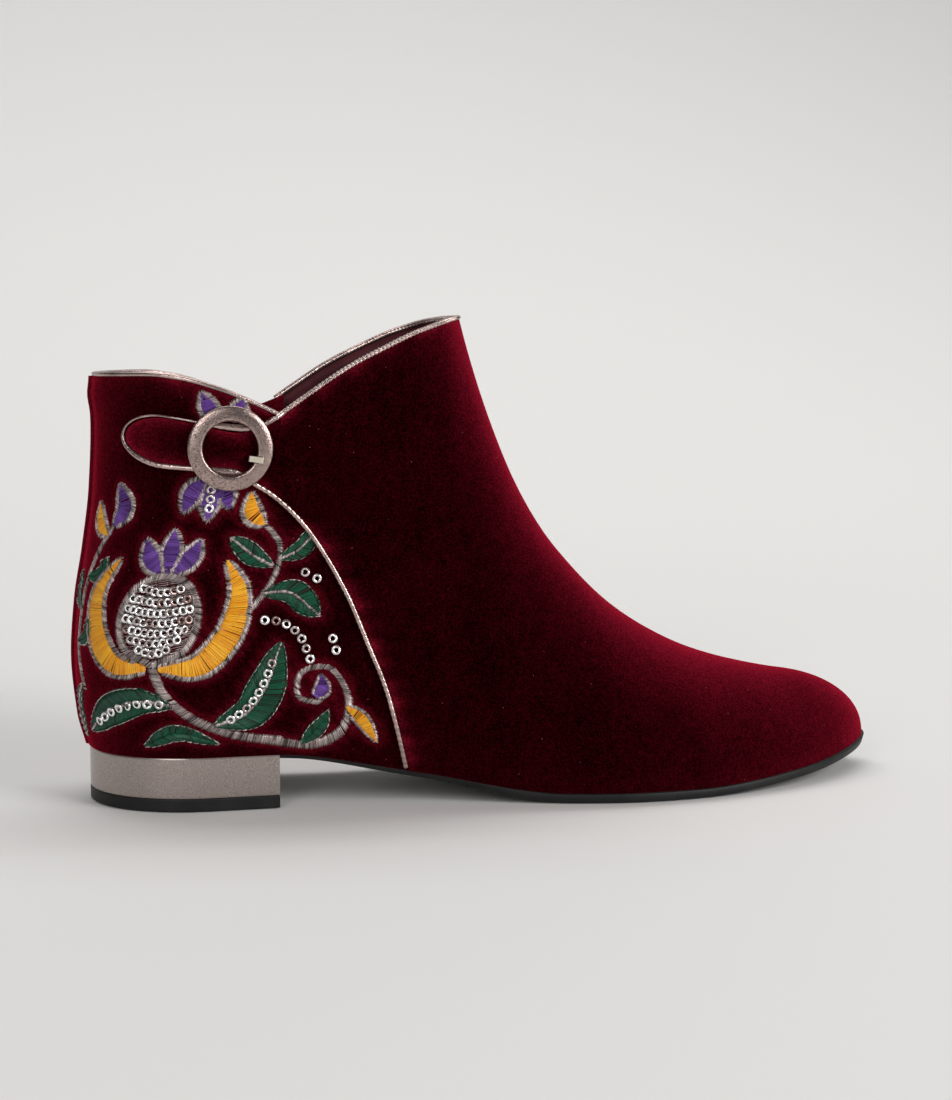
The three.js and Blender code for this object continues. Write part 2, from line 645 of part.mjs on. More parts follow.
// Pull: a flat tab whose top bar turns under the slider's arch. It hangs down at rest.
const pullAxis = archFoot + (archTop - archWall) / 2;
const halfBar = PULL.thick / 2;
const pullOutline = [[-PULL.top / 2, halfBar], [-PULL.top / 2, -8]];
for (const degrees of between(180, 360, 8)) {
  const angle = THREE.MathUtils.degToRad(degrees);
  const radius = PULL.bottom / 2;
  pullOutline.push([radius * Math.cos(angle), radius - PULL.length + radius * Math.sin(angle)]);
}
pullOutline.push([PULL.top / 2, -8], [PULL.top / 2, halfBar]);
const halfHole = PULL.hole / 2;
const pullHole = [[-halfHole, -halfBar], [-halfHole, -halfBar - PULL.holeLength],
  [halfHole, -halfBar - PULL.holeLength], [halfHole, -halfBar]];
const pull = add(slider, 'zip_pull', welded(plate(pullOutline, -halfBar, halfBar, pullHole)), blackNickel);
pull.position.y = pullAxis;

// The feather line's outline in plan, set in or out by a margin: matching points of the two sides.
function featherEdge(from, to, count, h, margin) {
  const start = Math.acos(1 - (2 * (from - backX(h))) / (ridgeX(h) - backX(h)));
  const stop = Math.acos(clamp(1 - (2 * (to - backX(h))) / (ridgeX(h) - backX(h)), -1, 1));
  return between(start, stop, count).map((angle) => [angle, -angle].map((turn) => {
    const point = around(turn, h);
    const out = aroundNormal(turn, h);
    out.z = 0;
    return point.addScaledVector(out.normalize(), typeof margin === 'function' ? margin(point.x) : margin);
  }));
}

// A plate over an outline from one height to another, each a function of x.
function footPlate(edge, low, high, lowEdge = edge) {
  const level = (rows, height) => rows.map((row) => row.map((point) =>
    new THREE.Vector3(point.x, point.y, height(point.x))));
  return slab(level(lowEdge, low), level(edge, high));
}

// Insole: lies inside the wall's foot, on the sole and the heel seat.
const INSOLE_THICKNESS = 2.5;
const heelBack = backX(0);
const insoleEdge = featherEdge(heelBack, LENGTH, 34, GAP, -WALL - 2 * GAP);
add(boot, 'insole', footPlate(insoleEdge, (x) => feather(x) + GAP,
  (x) => feather(x) + GAP + INSOLE_THICKNESS), insoleLeather);

// Outsole: thin at the waist with a bevelled edge; its heel flap lies let into the top of the heel.
const soleTop = featherEdge(heelBack, LENGTH, 44, 0, soleMargin);
const soleLow = featherEdge(heelBack, LENGTH, 44, 0, (x) => soleMargin(x) - soleBevel(x));
add(boot, 'outsole', footPlate(soleTop, soleGround, feather, soleLow), soleRubber);

// Heel: a covered block with a pocket for the sole's flap, over a rubber top piece.
const POCKET_WALL = 2;
const pocketFloor = soleGround(0) - GAP;
const heelEdge = featherEdge(heelBack, HEEL_BREAST, 16, 0, 0);
const heelBody = footPlate(heelEdge, () => TOP_PIECE_HEIGHT + GAP, () => HEEL_HEIGHT);
const pocketEdge = featherEdge(heelBack, HEEL_BREAST + 2, 16, 0, -POCKET_WALL);
const pocket = footPlate(pocketEdge, () => pocketFloor, () => HEEL_HEIGHT + 1);
add(boot, 'heel_block', fromManifold(manifold(heelBody).subtract(manifold(pocket))), pewterLeather);
add(boot, 'heel_top_piece', footPlate(heelEdge, () => 0, () => TOP_PIECE_HEIGHT), soleRubber);

// The boot stands on the floor with the middle of its box over the origin.
const part = new THREE.Group();
part.add(boot);
const box = new THREE.Box3().setFromObject(boot, true);
const middle = box.getCenter(new THREE.Vector3());
boot.position.set(-middle.x, -middle.y, -box.min.z);

export default part;
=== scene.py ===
import json
import math

import bmesh
import bpy
import numpy as np
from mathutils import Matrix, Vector
from mathutils.kdtree import KDTree

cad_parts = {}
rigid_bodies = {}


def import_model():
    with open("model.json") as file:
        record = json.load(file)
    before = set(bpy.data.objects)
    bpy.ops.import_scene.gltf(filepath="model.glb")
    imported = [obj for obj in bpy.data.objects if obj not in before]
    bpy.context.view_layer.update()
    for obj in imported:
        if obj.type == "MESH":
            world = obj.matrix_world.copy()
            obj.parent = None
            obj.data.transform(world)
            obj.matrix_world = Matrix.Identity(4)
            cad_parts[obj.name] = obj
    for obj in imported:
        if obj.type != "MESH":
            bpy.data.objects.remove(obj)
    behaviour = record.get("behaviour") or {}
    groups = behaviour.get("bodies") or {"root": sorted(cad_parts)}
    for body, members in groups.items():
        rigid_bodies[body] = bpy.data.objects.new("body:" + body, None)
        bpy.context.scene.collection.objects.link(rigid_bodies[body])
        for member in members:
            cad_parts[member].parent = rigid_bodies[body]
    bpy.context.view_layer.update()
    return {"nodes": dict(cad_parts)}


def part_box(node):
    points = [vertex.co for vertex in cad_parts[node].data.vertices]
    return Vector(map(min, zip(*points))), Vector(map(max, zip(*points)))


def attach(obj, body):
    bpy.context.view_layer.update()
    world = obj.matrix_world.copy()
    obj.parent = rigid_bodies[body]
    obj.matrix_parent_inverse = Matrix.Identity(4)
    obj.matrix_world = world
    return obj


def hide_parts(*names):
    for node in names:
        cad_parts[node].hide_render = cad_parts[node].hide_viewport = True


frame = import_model()

# Studio
# A pale paper sweep lies under and behind the boot, lit by soft boxes above and on both sides.
# The camera stands beside the heel, level with the collar, turned towards the toe to take in the whole boot.
SWEEP_HALF_WIDTH = 4.0
SWEEP_FRONT, SWEEP_BACK = -3.0, 0.35
SWEEP_RADIUS = 2.4
SWEEP_STEPS = 24
SWEEP_TOP = 3.0
FLOOR_LEVEL = -0.0002
SWEEP_COLOUR = (0.775, 0.762, 0.74, 1)
BOOT_MIDDLE = (0, 0, 0.07)
# Soft boxes: name, place, width and height, power, the point it is turned to.
SOFT_BOXES = [
    ("key", (1.25, -1.25, 0.75), (0.9, 1.1), 26, BOOT_MIDDLE),
    ("top", (0.1, 0.6, 1.8), (1.9, 0.9), 15, BOOT_MIDDLE),
    ("fill", (-0.85, -1.5, 0.75), (0.7, 0.9), 8.5, BOOT_MIDDLE),
    ("wash", (0.3, 0.55, 1.9), (3.4, 0.5), 20, (0.4, 2.2, 0.5)),
]
ROOM_COLOUR, ROOM_STRENGTH = (0.95, 0.96, 1.0, 1), 0.11
CAMERA_PLACE = (-0.1328, -0.651, 0.143)
CAMERA_YAW, CAMERA_PITCH = 11.2, -5.9
CAMERA_WIDTH_ANGLE = 25.6
PHOTO_WIDTH, PHOTO_HEIGHT = 952, 1100


def finish(name, **sockets):
    """A material with one Principled shader whose plain sockets are set from the named values."""
    material = bpy.data.materials.new(name)
    material.use_nodes = True
    shader = material.node_tree.nodes["Principled BSDF"]
    for key, value in sockets.items():
        shader.inputs[key.replace("_", " ")].default_value = value
    return material, material.node_tree, shader


def piece(name, points, faces, material):
    mesh = bpy.data.meshes.new(name)
    mesh.from_pydata(np.asarray(points, float).reshape(-1, 3).tolist(), [], faces)
    mesh.polygons.foreach_set("use_smooth", [True] * len(mesh.polygons))
    mesh.materials.append(material)
    mesh.update()
    made = bpy.data.objects.new(name, mesh)
    bpy.context.scene.collection.objects.link(made)
    return made


def grid_faces(rows, columns, wrap=False):
    faces = []
    for i in range(rows - 1):
        a, b = i * columns, (i + 1) * columns
        for j in range(columns if wrap else columns - 1):
            k = (j + 1) % columns
            faces.append((a + j, a + k, b + k, b + j))
    return faces


for spare in [o for o in bpy.data.objects if o.name in ("Cube", "Light", "Camera")]:
    bpy.data.objects.remove(spare)
profile = [(SWEEP_FRONT, FLOOR_LEVEL), (0, FLOOR_LEVEL)]
for bend in np.radians(np.linspace(0, 90, SWEEP_STEPS)):
    rise = SWEEP_RADIUS * (1 - math.cos(bend))
    profile.append((SWEEP_BACK + SWEEP_RADIUS * math.sin(bend), FLOOR_LEVEL + rise))
profile.append((SWEEP_BACK + SWEEP_RADIUS, SWEEP_TOP))
sweep_points = [(x, y, z) for y, z in profile for x in (-SWEEP_HALF_WIDTH, SWEEP_HALF_WIDTH)]
paper = finish("sweep_paper", Base_Color=SWEEP_COLOUR, Roughness=0.75)[0]
sweep = piece("paper_sweep", sweep_points, grid_faces(len(profile), 2), paper)

for name, place, size, power, aim in SOFT_BOXES:
    lamp = bpy.data.lights.new(name, "AREA")
    lamp.shape = "RECTANGLE"
    lamp.size, lamp.size_y = size
    lamp.energy = power
    holder = bpy.data.objects.new(name, lamp)
    holder.location = place
    holder.rotation_euler = (Vector(aim) - holder.location).to_track_quat("-Z", "Y").to_euler()
    bpy.context.scene.collection.objects.link(holder)
world = bpy.context.scene.world or bpy.data.worlds.new("studio")
bpy.context.scene.world = world
world.use_nodes = True
world.node_tree.nodes["Background"].inputs["Color"].default_value = ROOM_COLOUR
world.node_tree.nodes["Background"].inputs["Strength"].default_value = ROOM_STRENGTH

camera_data = bpy.data.cameras.new("camera")
half_width = math.tan(math.radians(CAMERA_WIDTH_ANGLE / 2))
camera_data.angle = 2 * math.atan(half_width * PHOTO_HEIGHT / PHOTO_WIDTH)
camera = bpy.data.objects.new("camera", camera_data)
camera.location = CAMERA_PLACE
camera.rotation_euler = (math.radians(90 + CAMERA_PITCH), 0, math.radians(-CAMERA_YAW))
bpy.context.scene.collection.objects.link(camera)
bpy.context.scene.camera = camera
bpy.context.scene.view_settings.view_transform = "Standard"

# Heel top piece
# The heel's wearing layer: black rubber cut to the heel seat's outline, glued and pinned under the block.
# Its outline is the last's feather line, the edge that the upper is drawn over, cut off straight in front.
BODY = "boot"
OUTER, INNER = -1, 1
LAST_LENGTH = 258.0
BALL_X = 172.0
NOSE_LENGTH = 27.0
TOE_FULLNESS, TOE_POINT = 2.2, 0.62
HEEL_BREAST = 60.0
HEEL_POINTS = 56
BREAST_CORNER = np.array([0.035, 0.037])
BREAST_SHARES = np.concatenate([BREAST_CORNER, np.linspace(0.1, 0.9, 9), 1 - BREAST_CORNER[::-1]])[:, None]
TOP_PIECE_HEIGHT = 4.0
CRISP_ANGLE = 50
PLAN_STEP, RIDGE_STEPS = 0.02, 6000
LEAST_RIDGE, LEAST_LENGTH, MERGE = 1e-6, 1e-9, 1e-7
# Along the last: x, half width, swing, tuck at the feather line, height of the tuck.
LAST_PLAN = [
    (0, 32, 0, 0.10, 26), (35, 32, 0, 0.10, 26), (62, 31, -0.4, 0.11, 24), (98, 30.5, -2, 0.12, 20),
    (132, 36, -1.6, 0.08, 14), (172, 43, 0, 0.05, 12), (215, 43, 4, 0.04, 10), (258, 43, 7, 0.04, 10),
]
# Up the back: height, x of the back seam, girth, length of the back's rounding.
LAST_BACK = [
    (0, 4, 1, 33), (10, 1.5, 1, 33), (28, 0, 1, 33), (45, 1.2, 0.97, 34), (62, 4, 0.93, 36),
    (80, 6.3, 0.92, 38), (100, 7.2, 0.94, 40), (140, 6, 1, 42),
]
# Along the middle of the vamp and instep: x, height of the ridge above the feather line.
LAST_RIDGE = [
    (0, 900), (60, 500), (100, 240), (112, 172), (118, 143), (128, 112), (138, 90), (150, 72),
    (170, 52), (190, 40), (215, 30), (236, 24), (258, 20),
]
# Up the top piece: inset from the outline, height.
TOP_PIECE_STEPS = [
    (0.6, 0.0), (0.2, 0.1), (0.0, 0.4), (0.0, 0.7), (0.0, 3.3), (0.0, 3.6), (0.12, 3.92),
    (0.4, TOP_PIECE_HEIGHT),
]


def smooth_through(rows, column):
    """A curve through a table's rows that never swings past them, level beyond its ends."""
    xs = np.array([row[0] for row in rows], float)
    ys = np.array([row[column] for row in rows], float)
    rise = np.diff(ys) / np.diff(xs)
    product = rise[:-1] * rise[1:]
    total = np.where(product > 0, rise[:-1] + rise[1:], 1)
    slope = np.concatenate([rise[:1], np.where(product > 0, 2 * product / total, 0), rise[-1:]])

    def value(x):
        x = np.clip(x, xs[0], xs[-1])
        i = np.clip(np.searchsorted(xs, x, side="left") - 1, 0, len(xs) - 2)
        width = xs[i + 1] - xs[i]
        t = (x - xs[i]) / width
        start = ys[i] * (1 + 2 * t) * (1 - t) ** 2 + width * slope[i] * t * (1 - t) ** 2
        return start + ys[i + 1] * t * t * (3 - 2 * t) - width * slope[i + 1] * t * t * (1 - t)

    return value


def curves_through(rows):
    """One smooth curve over a table's first column for each of its other columns."""
    return [smooth_through(rows, column) for column in range(1, len(rows[0]))]


def between(value, start, end):
    """0 up to the start, 1 from the end on, an even rise between; the end may be the lower."""
    return np.clip((value - start) / (end - start), 0, 1)


def quarter_round(t):
    """Rise of a quarter circle, steep at 0 and level at 1."""
    return np.sqrt(1 - (1 - t) ** 2)


def unit(vectors):
    return vectors / np.maximum(np.linalg.norm(vectors, axis=-1, keepdims=True), LEAST_LENGTH)


plan_half, plan_swing, plan_tuck, plan_tuck_height = curves_through(LAST_PLAN)
back_x, back_girth, back_round = curves_through(LAST_BACK)
[ridge_table] = curves_through(LAST_RIDGE)


def ridge(x):
    return ridge_table(x) * quarter_round(between(x, LAST_LENGTH, LAST_LENGTH - NOSE_LENGTH))


ridge_places = np.linspace(LAST_LENGTH, HEEL_BREAST, RIDGE_STEPS)
ridge_heights = ridge(ridge_places)


def ridge_x(h):
    return np.interp(h, ridge_heights, ridge_places)


def half_width_at(x, h):
    heel = quarter_round(np.clip((x - back_x(h)) / back_round(h), 0, 1))
    toe = (1 - between(x, BALL_X, LAST_LENGTH) ** TOE_FULLNESS) ** TOE_POINT
    arch = np.sqrt(np.clip(1 - (h / np.maximum(ridge(x), LEAST_RIDGE)) ** 2, 0, 1))
    rise = np.sin(np.clip(h / plan_tuck_height(x), 0, 1) * np.pi / 2)
    return plan_half(x) * (heel * toe) * arch * (1 - plan_tuck(x) * (1 - rise)) * back_girth(h)


def plan_point(angle, h):
    """Plan of the last's skin: angle 0 at the back seam, pi at the toe, negative on the inner side."""
    x = back_x(h) + (ridge_x(h) - back_x(h)) * (1 - np.cos(angle)) / 2
    side = np.where(np.sin(angle) < 0, INNER, OUTER)
    return np.stack([x, plan_swing(x) + side * half_width_at(x, h)], axis=-1)


def plan_outline(angles, h, margin):
    """Points of the feather outline set in or out by a margin along its normals."""
    along = plan_point(angles + PLAN_STEP, h) - plan_point(angles - PLAN_STEP, h)
    normal = unit(np.stack([along[..., 1], -along[..., 0]], axis=-1))
    point = plan_point(angles, h)
    reach = margin(point[..., 0]) if callable(margin) else margin
    return point + normal * np.asarray(reach)[..., None]


def angle_at(x, h):
    return np.arccos(np.clip(1 - 2 * (x - back_x(h)) / (ridge_x(h) - back_x(h)), -1, 1))


heel_angles = np.linspace(0, angle_at(HEEL_BREAST, 0.0), HEEL_POINTS)
outer_heel, inner_heel = plan_point(heel_angles, 0.0), plan_point(-heel_angles, 0.0)
heel_low, heel_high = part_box("heel_top_piece")
shift = np.array([
    heel_low.x * 1000 - outer_heel[:, 0].min(),
    (heel_low.y + heel_high.y) * 500 - (outer_heel[:, 1].min() + inner_heel[:, 1].max()) / 2,
    0,
])


def in_frame(points):
    """Metres in the shared frame, from millimetres along the last."""
    return (np.asarray(points, float) + shift) / 1000


def heel_outline(inset):
    """Closed outline of the heel: round the back on both sides, then across the straight breast."""
    outer = plan_outline(heel_angles, 0.0, -inset)
    inner = plan_outline(-heel_angles[1:], 0.0, -inset)
    outer[:, 0] = np.minimum(outer[:, 0], HEEL_BREAST - inset)
    inner[:, 0] = np.minimum(inner[:, 0], HEEL_BREAST - inset)
    breast = outer[-1] * (1 - BREAST_SHARES) + inner[-1] * BREAST_SHARES
    return np.concatenate([outer, breast, inner[::-1]])


def shell(name, points, faces, material):
    """A closed piece from points along the last, its doubles merged and its faces turned outwards."""
    made = piece(name, in_frame(points), faces, material)
    shape = bmesh.new()
    shape.from_mesh(made.data)
    bmesh.ops.remove_doubles(shape, verts=shape.verts, dist=MERGE)
    bmesh.ops.dissolve_degenerate(shape, edges=shape.edges, dist=MERGE)
    bmesh.ops.recalc_face_normals(shape, faces=shape.faces)
    shape.to_mesh(made.data)
    shape.free()
    return made


def barrel_faces(rings, count):
    """Faces through rings of equal count, with one more to close each end."""
    last = (rings - 1) * count
    ends = [tuple(range(count))[::-1], tuple(range(last, last + count))]
    return grid_faces(rings, count, wrap=True) + ends


def stacked(name, loops, material):
    """A crisp solid through level outlines of equal count."""
    made = shell(name, np.concatenate(loops), barrel_faces(len(loops), len(loops[0])), material)
    made.data.set_sharp_from_angle(angle=math.radians(CRISP_ANGLE))
    return made


def level(outline, z):
    return np.column_stack([outline, np.broadcast_to(z, len(outline))])


def node(tree, kind, settings=None, **inputs):
    """A node with its settings and inputs; an input goes by name, or by number as i0 or i1."""
    made = tree.nodes.new(kind)
    for name, value in (settings or {}).items():
        setattr(made, name, value)
    for name, value in inputs.items():
        numbered = name[0] == "i" and name[1:].isdigit()
        socket = made.inputs[int(name[1:]) if numbered else name.replace("_", " ")]
        if isinstance(value, bpy.types.NodeSocket):
            tree.links.new(value, socket)
        else:
            socket.default_value = value
    return made


def maths(tree, operation, *values, clamp=False):
    settings = {"operation": operation, "use_clamp": clamp}
    return node(tree, "ShaderNodeMath", settings, **{f"i{k}": v for k, v in enumerate(values)}).outputs[0]


def give(group, **values):
    """Ends a shader node group with one named output for each value."""
    for name in values:
        group.interface.new_socket(name, in_out="OUTPUT", socket_type="NodeSocketFloat")
    node(group, "NodeGroupOutput", **values)


def grain_group():
    """Irregular fine grain: a height for bump and a slow and a fine variation, by size in millimetres."""
    group = bpy.data.node_groups.new("fine_grain", "ShaderNodeTree")
    for name, default in (("Grain size", 0.5), ("Patch size", 8.0)):
        size = group.interface.new_socket(name, in_out="INPUT", socket_type="NodeSocketFloat")
        size.default_value = default
    sizes = node(group, "NodeGroupInput").outputs
    place = node(group, "ShaderNodeTexCoord").outputs["Object"]
    grain = maths(group, "DIVIDE", 1000.0, sizes["Grain size"])
    patch = maths(group, "DIVIDE", 1000.0, sizes["Patch size"])
    cells = node(group, "ShaderNodeTexVoronoi", {"feature": "F1"}, Vector=place, Scale=grain, Randomness=1.0)
    slow = node(group, "ShaderNodeTexNoise", Vector=place, Scale=patch, Detail=3.0)
    fine = node(group, "ShaderNodeTexNoise", Vector=place, Scale=grain, Detail=2.0)
    height = maths(group, "SUBTRACT", 1.0, cells.outputs["Distance"])
    give(group, Height=height, Patches=slow.outputs["Fac"], Speckle=fine.outputs["Fac"])
    return group


FINE_GRAIN = grain_group()
SHADE_SPAN = (0.35, 0.65)


def shade_between(tree, shader, factor, dark, light, span=SHADE_SPAN):
    """Base colour that goes from dark to light as a factor that changes over the surface crosses a span."""
    ramp = node(tree, "ShaderNodeValToRGB", Fac=factor)
    for stop, place, colour in zip(ramp.color_ramp.elements, span, (dark, light)):
        stop.position = place
        stop.color = (*colour, 1)
    tree.links.new(ramp.outputs["Color"], shader.inputs["Base Color"])
    return ramp.outputs["Color"]


def bumped(tree, shader, height, strength, depth_mm):
    bump = node(tree, "ShaderNodeBump", Height=height, Strength=strength, Distance=depth_mm / 1000)
    tree.links.new(bump.outputs["Normal"], shader.inputs["Normal"])


def grained_finish(name, sizes, dark, light, rough=None, bump=None, shaded="Patches", raised="Height",
                   span=SHADE_SPAN, **sockets):
    """A finish with fine grain: grain and patch size, range of roughness, strength and depth of bump."""
    material, tree, shader = finish(name, **sockets)
    settings = {"node_tree": FINE_GRAIN}
    grain = node(tree, "ShaderNodeGroup", settings, Grain_size=sizes[0], Patch_size=sizes[1]).outputs
    shade_between(tree, shader, grain[shaded], dark, light, span)
    if rough:
        spread = node(tree, "ShaderNodeMapRange", Value=grain["Speckle"], To_Min=rough[0], To_Max=rough[1])
        tree.links.new(spread.outputs[0], shader.inputs["Roughness"])
    if bump:
        bumped(tree, shader, grain[raised], *bump)
    return material


rubber = grained_finish("black_rubber", (0.35, 9.0), (0.006, 0.006, 0.006), (0.013, 0.012, 0.012),
                        rough=(0.42, 0.62), bump=(0.12, 0.05), Roughness=0.5, Specular_IOR_Level=0.28)

top_piece_loops = [level(heel_outline(inset), z) for inset, z in TOP_PIECE_STEPS]
top_piece = stacked("heel_top_piece_rubber", top_piece_loops, rubber)
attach(top_piece, BODY)
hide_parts("heel_top_piece")

# Heel block
# A moulded block wrapped in smooth metallic leather, its edges turned over at the seat and the top piece.
# The sole's flap lies let into its top, so the velvet comes down right to the cover's edge.
HEEL_HEIGHT = 16.4
POCKET_FLOOR = 14.5
POCKET_WALL, POCKET_SLOPE = 2.0, 0.05
# Up the block: inset from the outline, height above the top piece, and then inset, depth below the seat.
BLOCK_FOOT = [(0.5, 0.04), (0.12, 0.1), (0.0, 0.35), (0.0, 0.7)]
BLOCK_SEAT = [(0.0, 0.7), (0.0, 0.4), (0.1, 0.1), (0.45, 0.0), (POCKET_WALL, 0.0)]

cover = grained_finish("heel_cover", (0.26, 14.0), (0.25, 0.208, 0.19), (0.47, 0.4, 0.366), shaded="Speckle",
                       span=(0.32, 0.68), bump=(0.2, 0.05), raised="Speckle", Metallic=0.85, Roughness=0.3,
                       Coat_Weight=0.2, Coat_Roughness=0.15)

seat_height = np.full(len(heel_outline(0)), HEEL_HEIGHT)
seat_height[HEEL_POINTS + 1:HEEL_POINTS + len(BREAST_SHARES) - 1] = POCKET_FLOOR
block_loops = [level(heel_outline(inset), TOP_PIECE_HEIGHT + rise) for inset, rise in BLOCK_FOOT]
block_loops += [level(heel_outline(inset), seat_height - fall) for inset, fall in BLOCK_SEAT]
block_loops.append(level(heel_outline(POCKET_WALL + POCKET_SLOPE), POCKET_FLOOR))
heel_block = stacked("heel_block_cover", block_loops, cover)
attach(heel_block, BODY)
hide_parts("heel_block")

# Outsole
# A thin black rubber sole, bevelled in at the waist and flat under the ball, cemented to the lasted upper.
# Its heel flap lies in the top of the heel block, and the toe springs up a little off the floor.
SOLE_STATIONS, SOLE_COLUMNS = 150, 11
UNDERSIDE_INSET = 0.7
# Along the sole: x, height of its underside, thickness.
SOLE_LINE = [
    (0, 14.8, 1.6), (58, 14.8, 1.6), (103, 7.4, 2.2), (148, 0, 3), (188, 0, 3), (225, 2.5, 3), (262, 8, 3),
]
# Along the sole: x, how far its edge stands out from the feather line, bevel of the underside.
SOLE_EDGE = [(0, -2.3, 0), (60, -2.3, 0), (72, -0.8, 2), (110, 0.4, 2.4), (140, 1.8, 0.6), (258, 1.8, 0.6)]
# Up the sole's edge: inset, height above the underside; then inset, depth below the top.
SOLE_LOW_STEPS = [(0.2, 0.15), (0, 0.5)]
SOLE_HIGH_STEPS = [(0, 0.35), (0.3, 0)]
sole_ground, sole_thick = curves_through(SOLE_LINE)
sole_margin, sole_bevel = curves_through(SOLE_EDGE)
sole_angles = np.linspace(0, np.pi, SOLE_STATIONS)


def feather(x):
    return sole_ground(x) + sole_thick(x)


def sole_edges(inset, low):
    """Both edges of the sole from heel to toe, for its top face or its bevelled underside."""
    margin = lambda x: sole_margin(x) - (sole_bevel(x) if low else 0) - inset
    return [plan_outline(turn * sole_angles, 0.0, margin) for turn in (1, -1)]


def above_ground(rise):
    return lambda x: sole_ground(x) + rise


def below_feather(fall):
    return lambda x: feather(x) - fall


def along_sole(edges, share, height):
    """A line of points from heel to toe, a share of the way from one edge to the other."""
    xy = edges[0] * (1 - share) + edges[1] * share
    return np.column_stack([xy, height(xy[:, 0])])


def sleeve(name, rings, material):
    """A closed piece through rings of points, where the end rings lie flat or meet each other."""
    rings = np.asarray(rings)
    return shell(name, rings, grid_faces(*rings.shape[:2], wrap=True), material)


edge_steps = [(sole_edges(inset, True), above_ground(rise)) for inset, rise in SOLE_LOW_STEPS]
edge_steps += [(sole_edges(inset, False), below_feather(fall)) for inset, fall in SOLE_HIGH_STEPS]
underside = sole_edges(UNDERSIDE_INSET, True)
sole_lines = [along_sole(underside, share, sole_ground) for share in np.linspace(0, 1, SOLE_COLUMNS)]
sole_lines += [along_sole(edges, 1, height) for edges, height in edge_steps]
sole_lines += [along_sole(edges, 0, height) for edges, height in edge_steps[::-1]]
outsole = sleeve("outsole_rubber", np.stack(sole_lines, axis=1), rubber)
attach(outsole, BODY)
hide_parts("outsole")

# Insole
# A padded sock of plum leather over a board, pushed in between the walls of the upper.
# Its edge is turned down and its heel is dished a little where the foot stands.
WALL = 2.0
INSOLE_THICKNESS = 2.5
INSOLE_DISH = 0.7
SOCK_GAP = 0.4
SOCK_LIFT = 0.3
SOCK_TURN_DOWN, SOCK_END_FADE = 0.6, 4
SOCK_STATIONS, SOCK_COLUMNS = 110, 15

plum = grained_finish("lining_leather", (0.7, 12.0), (0.06, 0.010, 0.014), (0.11, 0.024, 0.031),
                      rough=(0.42, 0.66), bump=(0.3, 0.12), Roughness=0.55, Specular_IOR_Level=0.14)

sock_angles = np.linspace(0, np.pi, SOCK_STATIONS)
sock_edges = [plan_outline(turn * sock_angles, SOCK_LIFT, -WALL - SOCK_GAP) for turn in (1, -1)]
toe_end = (sock_edges[0][-1] + sock_edges[1][-1]) / 2
from_ends = np.minimum(1, SOCK_END_FADE * np.sin(sock_angles))


def sock_top(share):
    """Height of the sock's top along its length: dished in the middle, turned down at both edges."""
    fall = INSOLE_DISH * (1 - (2 * share - 1) ** 2) + SOCK_TURN_DOWN * (share in (0, 1))
    return lambda x: feather(x) + SOCK_LIFT + INSOLE_THICKNESS - fall * from_ends


for edge in sock_edges:
    edge[-1] = toe_end
sock_lines = [along_sole(sock_edges, share, sock_top(share)) for share in np.linspace(0, 1, SOCK_COLUMNS)]
sock_lines += [along_sole(sock_edges, share, below_feather(-SOCK_LIFT)) for share in (1, 0)]
insole = sleeve("insole_sock", np.stack(sock_lines, axis=1), plum)
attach(insole, BODY)
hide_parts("insole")

# Upper
# Three layers sewn together and drawn over the last: velvet quarters joined by a seam up the back, a velvet
# vamp lapped over them on the outer side, and a leather lining. A slot for the zip is left on the inner side.
LAP = 1.0
LAYER = 0.95
LINING_GAP = 0.1
BINDING_HEIGHT = 1.4
FRONT_ROLL = 1.2
NOTCH = (61.0, 119.5)
BACK_TOPLINE = [(0, 131.4), (22, 131.8), (32, 130.6), (42, 127.8), (52, 123.8), NOTCH]
FRONT_TOPLINE = [NOTCH, (72, 127.2), (82, 133.8), (92.4, 139.2), (105, 144.8), (119, 148.5), (140, 149)]
# Up each seam: height, x.
OUTER_SEAM = [
    (8, 100.5), (38, 92.4), (49, 88), (64, 82), (82, 72), (90, 65.5), (96, 61.2), (108, 60),
    (NOTCH[1], NOTCH[0]),
]
INNER_SEAM = [(8, 90), (35, 82.6), (64, 75), (98, 66), (NOTCH[1], NOTCH[0])]
ZIP_BOTTOM = 36.0
SLOT_HALF = 4.7
SLOT_END_BELOW, SLOT_END_ABOVE = 1.0, 3.0
QUARTER_UNDERLAP = 4.0
VAMP_OVERLAP = 0.5
STRAP_FOOT = 91.0
TURN_STEP, RISE_STEP = 0.03, 0.4
SEAM_PASSES, TOP_PASSES, TOP_RANGE = 4, 36, (40.0, 170.0)
PANEL_FOOT, ROW_CROWDING, COLUMN_CROWDING = 0.05, 1.35, 1.5
QUARTER_ROWS, VAMP_ROWS, LINING_ROWS = 96, 110, 60
QUARTER_COLUMNS, VAMP_COLUMNS = 70, 84
LINING_FRONT_COLUMNS, LINING_BACK_COLUMNS, LINING_REACH = 40, 44, 0.94
# Edges rolled under: depth, reach.
QUARTER_ROLL, VAMP_SEAM_ROLL, VAMP_SLOT_ROLL = (0.6, 1.0), (0.7, 1.2), (0.7, 1.0)
VAMP_CLEARANCE, VAMP_DROP = 0.12, (5, 8)
# The back seam's relief: where it fades out, and the middle, width and height of each swell or groove.
SEAM_FADE = (14, 8)
TURNED_HEIGHT, TURNED_WIDTH, TURNED_FADE = 1.35, 2.4, (8, 3)
SWELL_UP, SWELL_ACROSS = (124.5, 4, 0.8), (0, 8)
SEAM_RIDGE, STITCH_GROOVE = (-1.8, 0.8, 0.3), (-0.4, 0.45, 0.5)
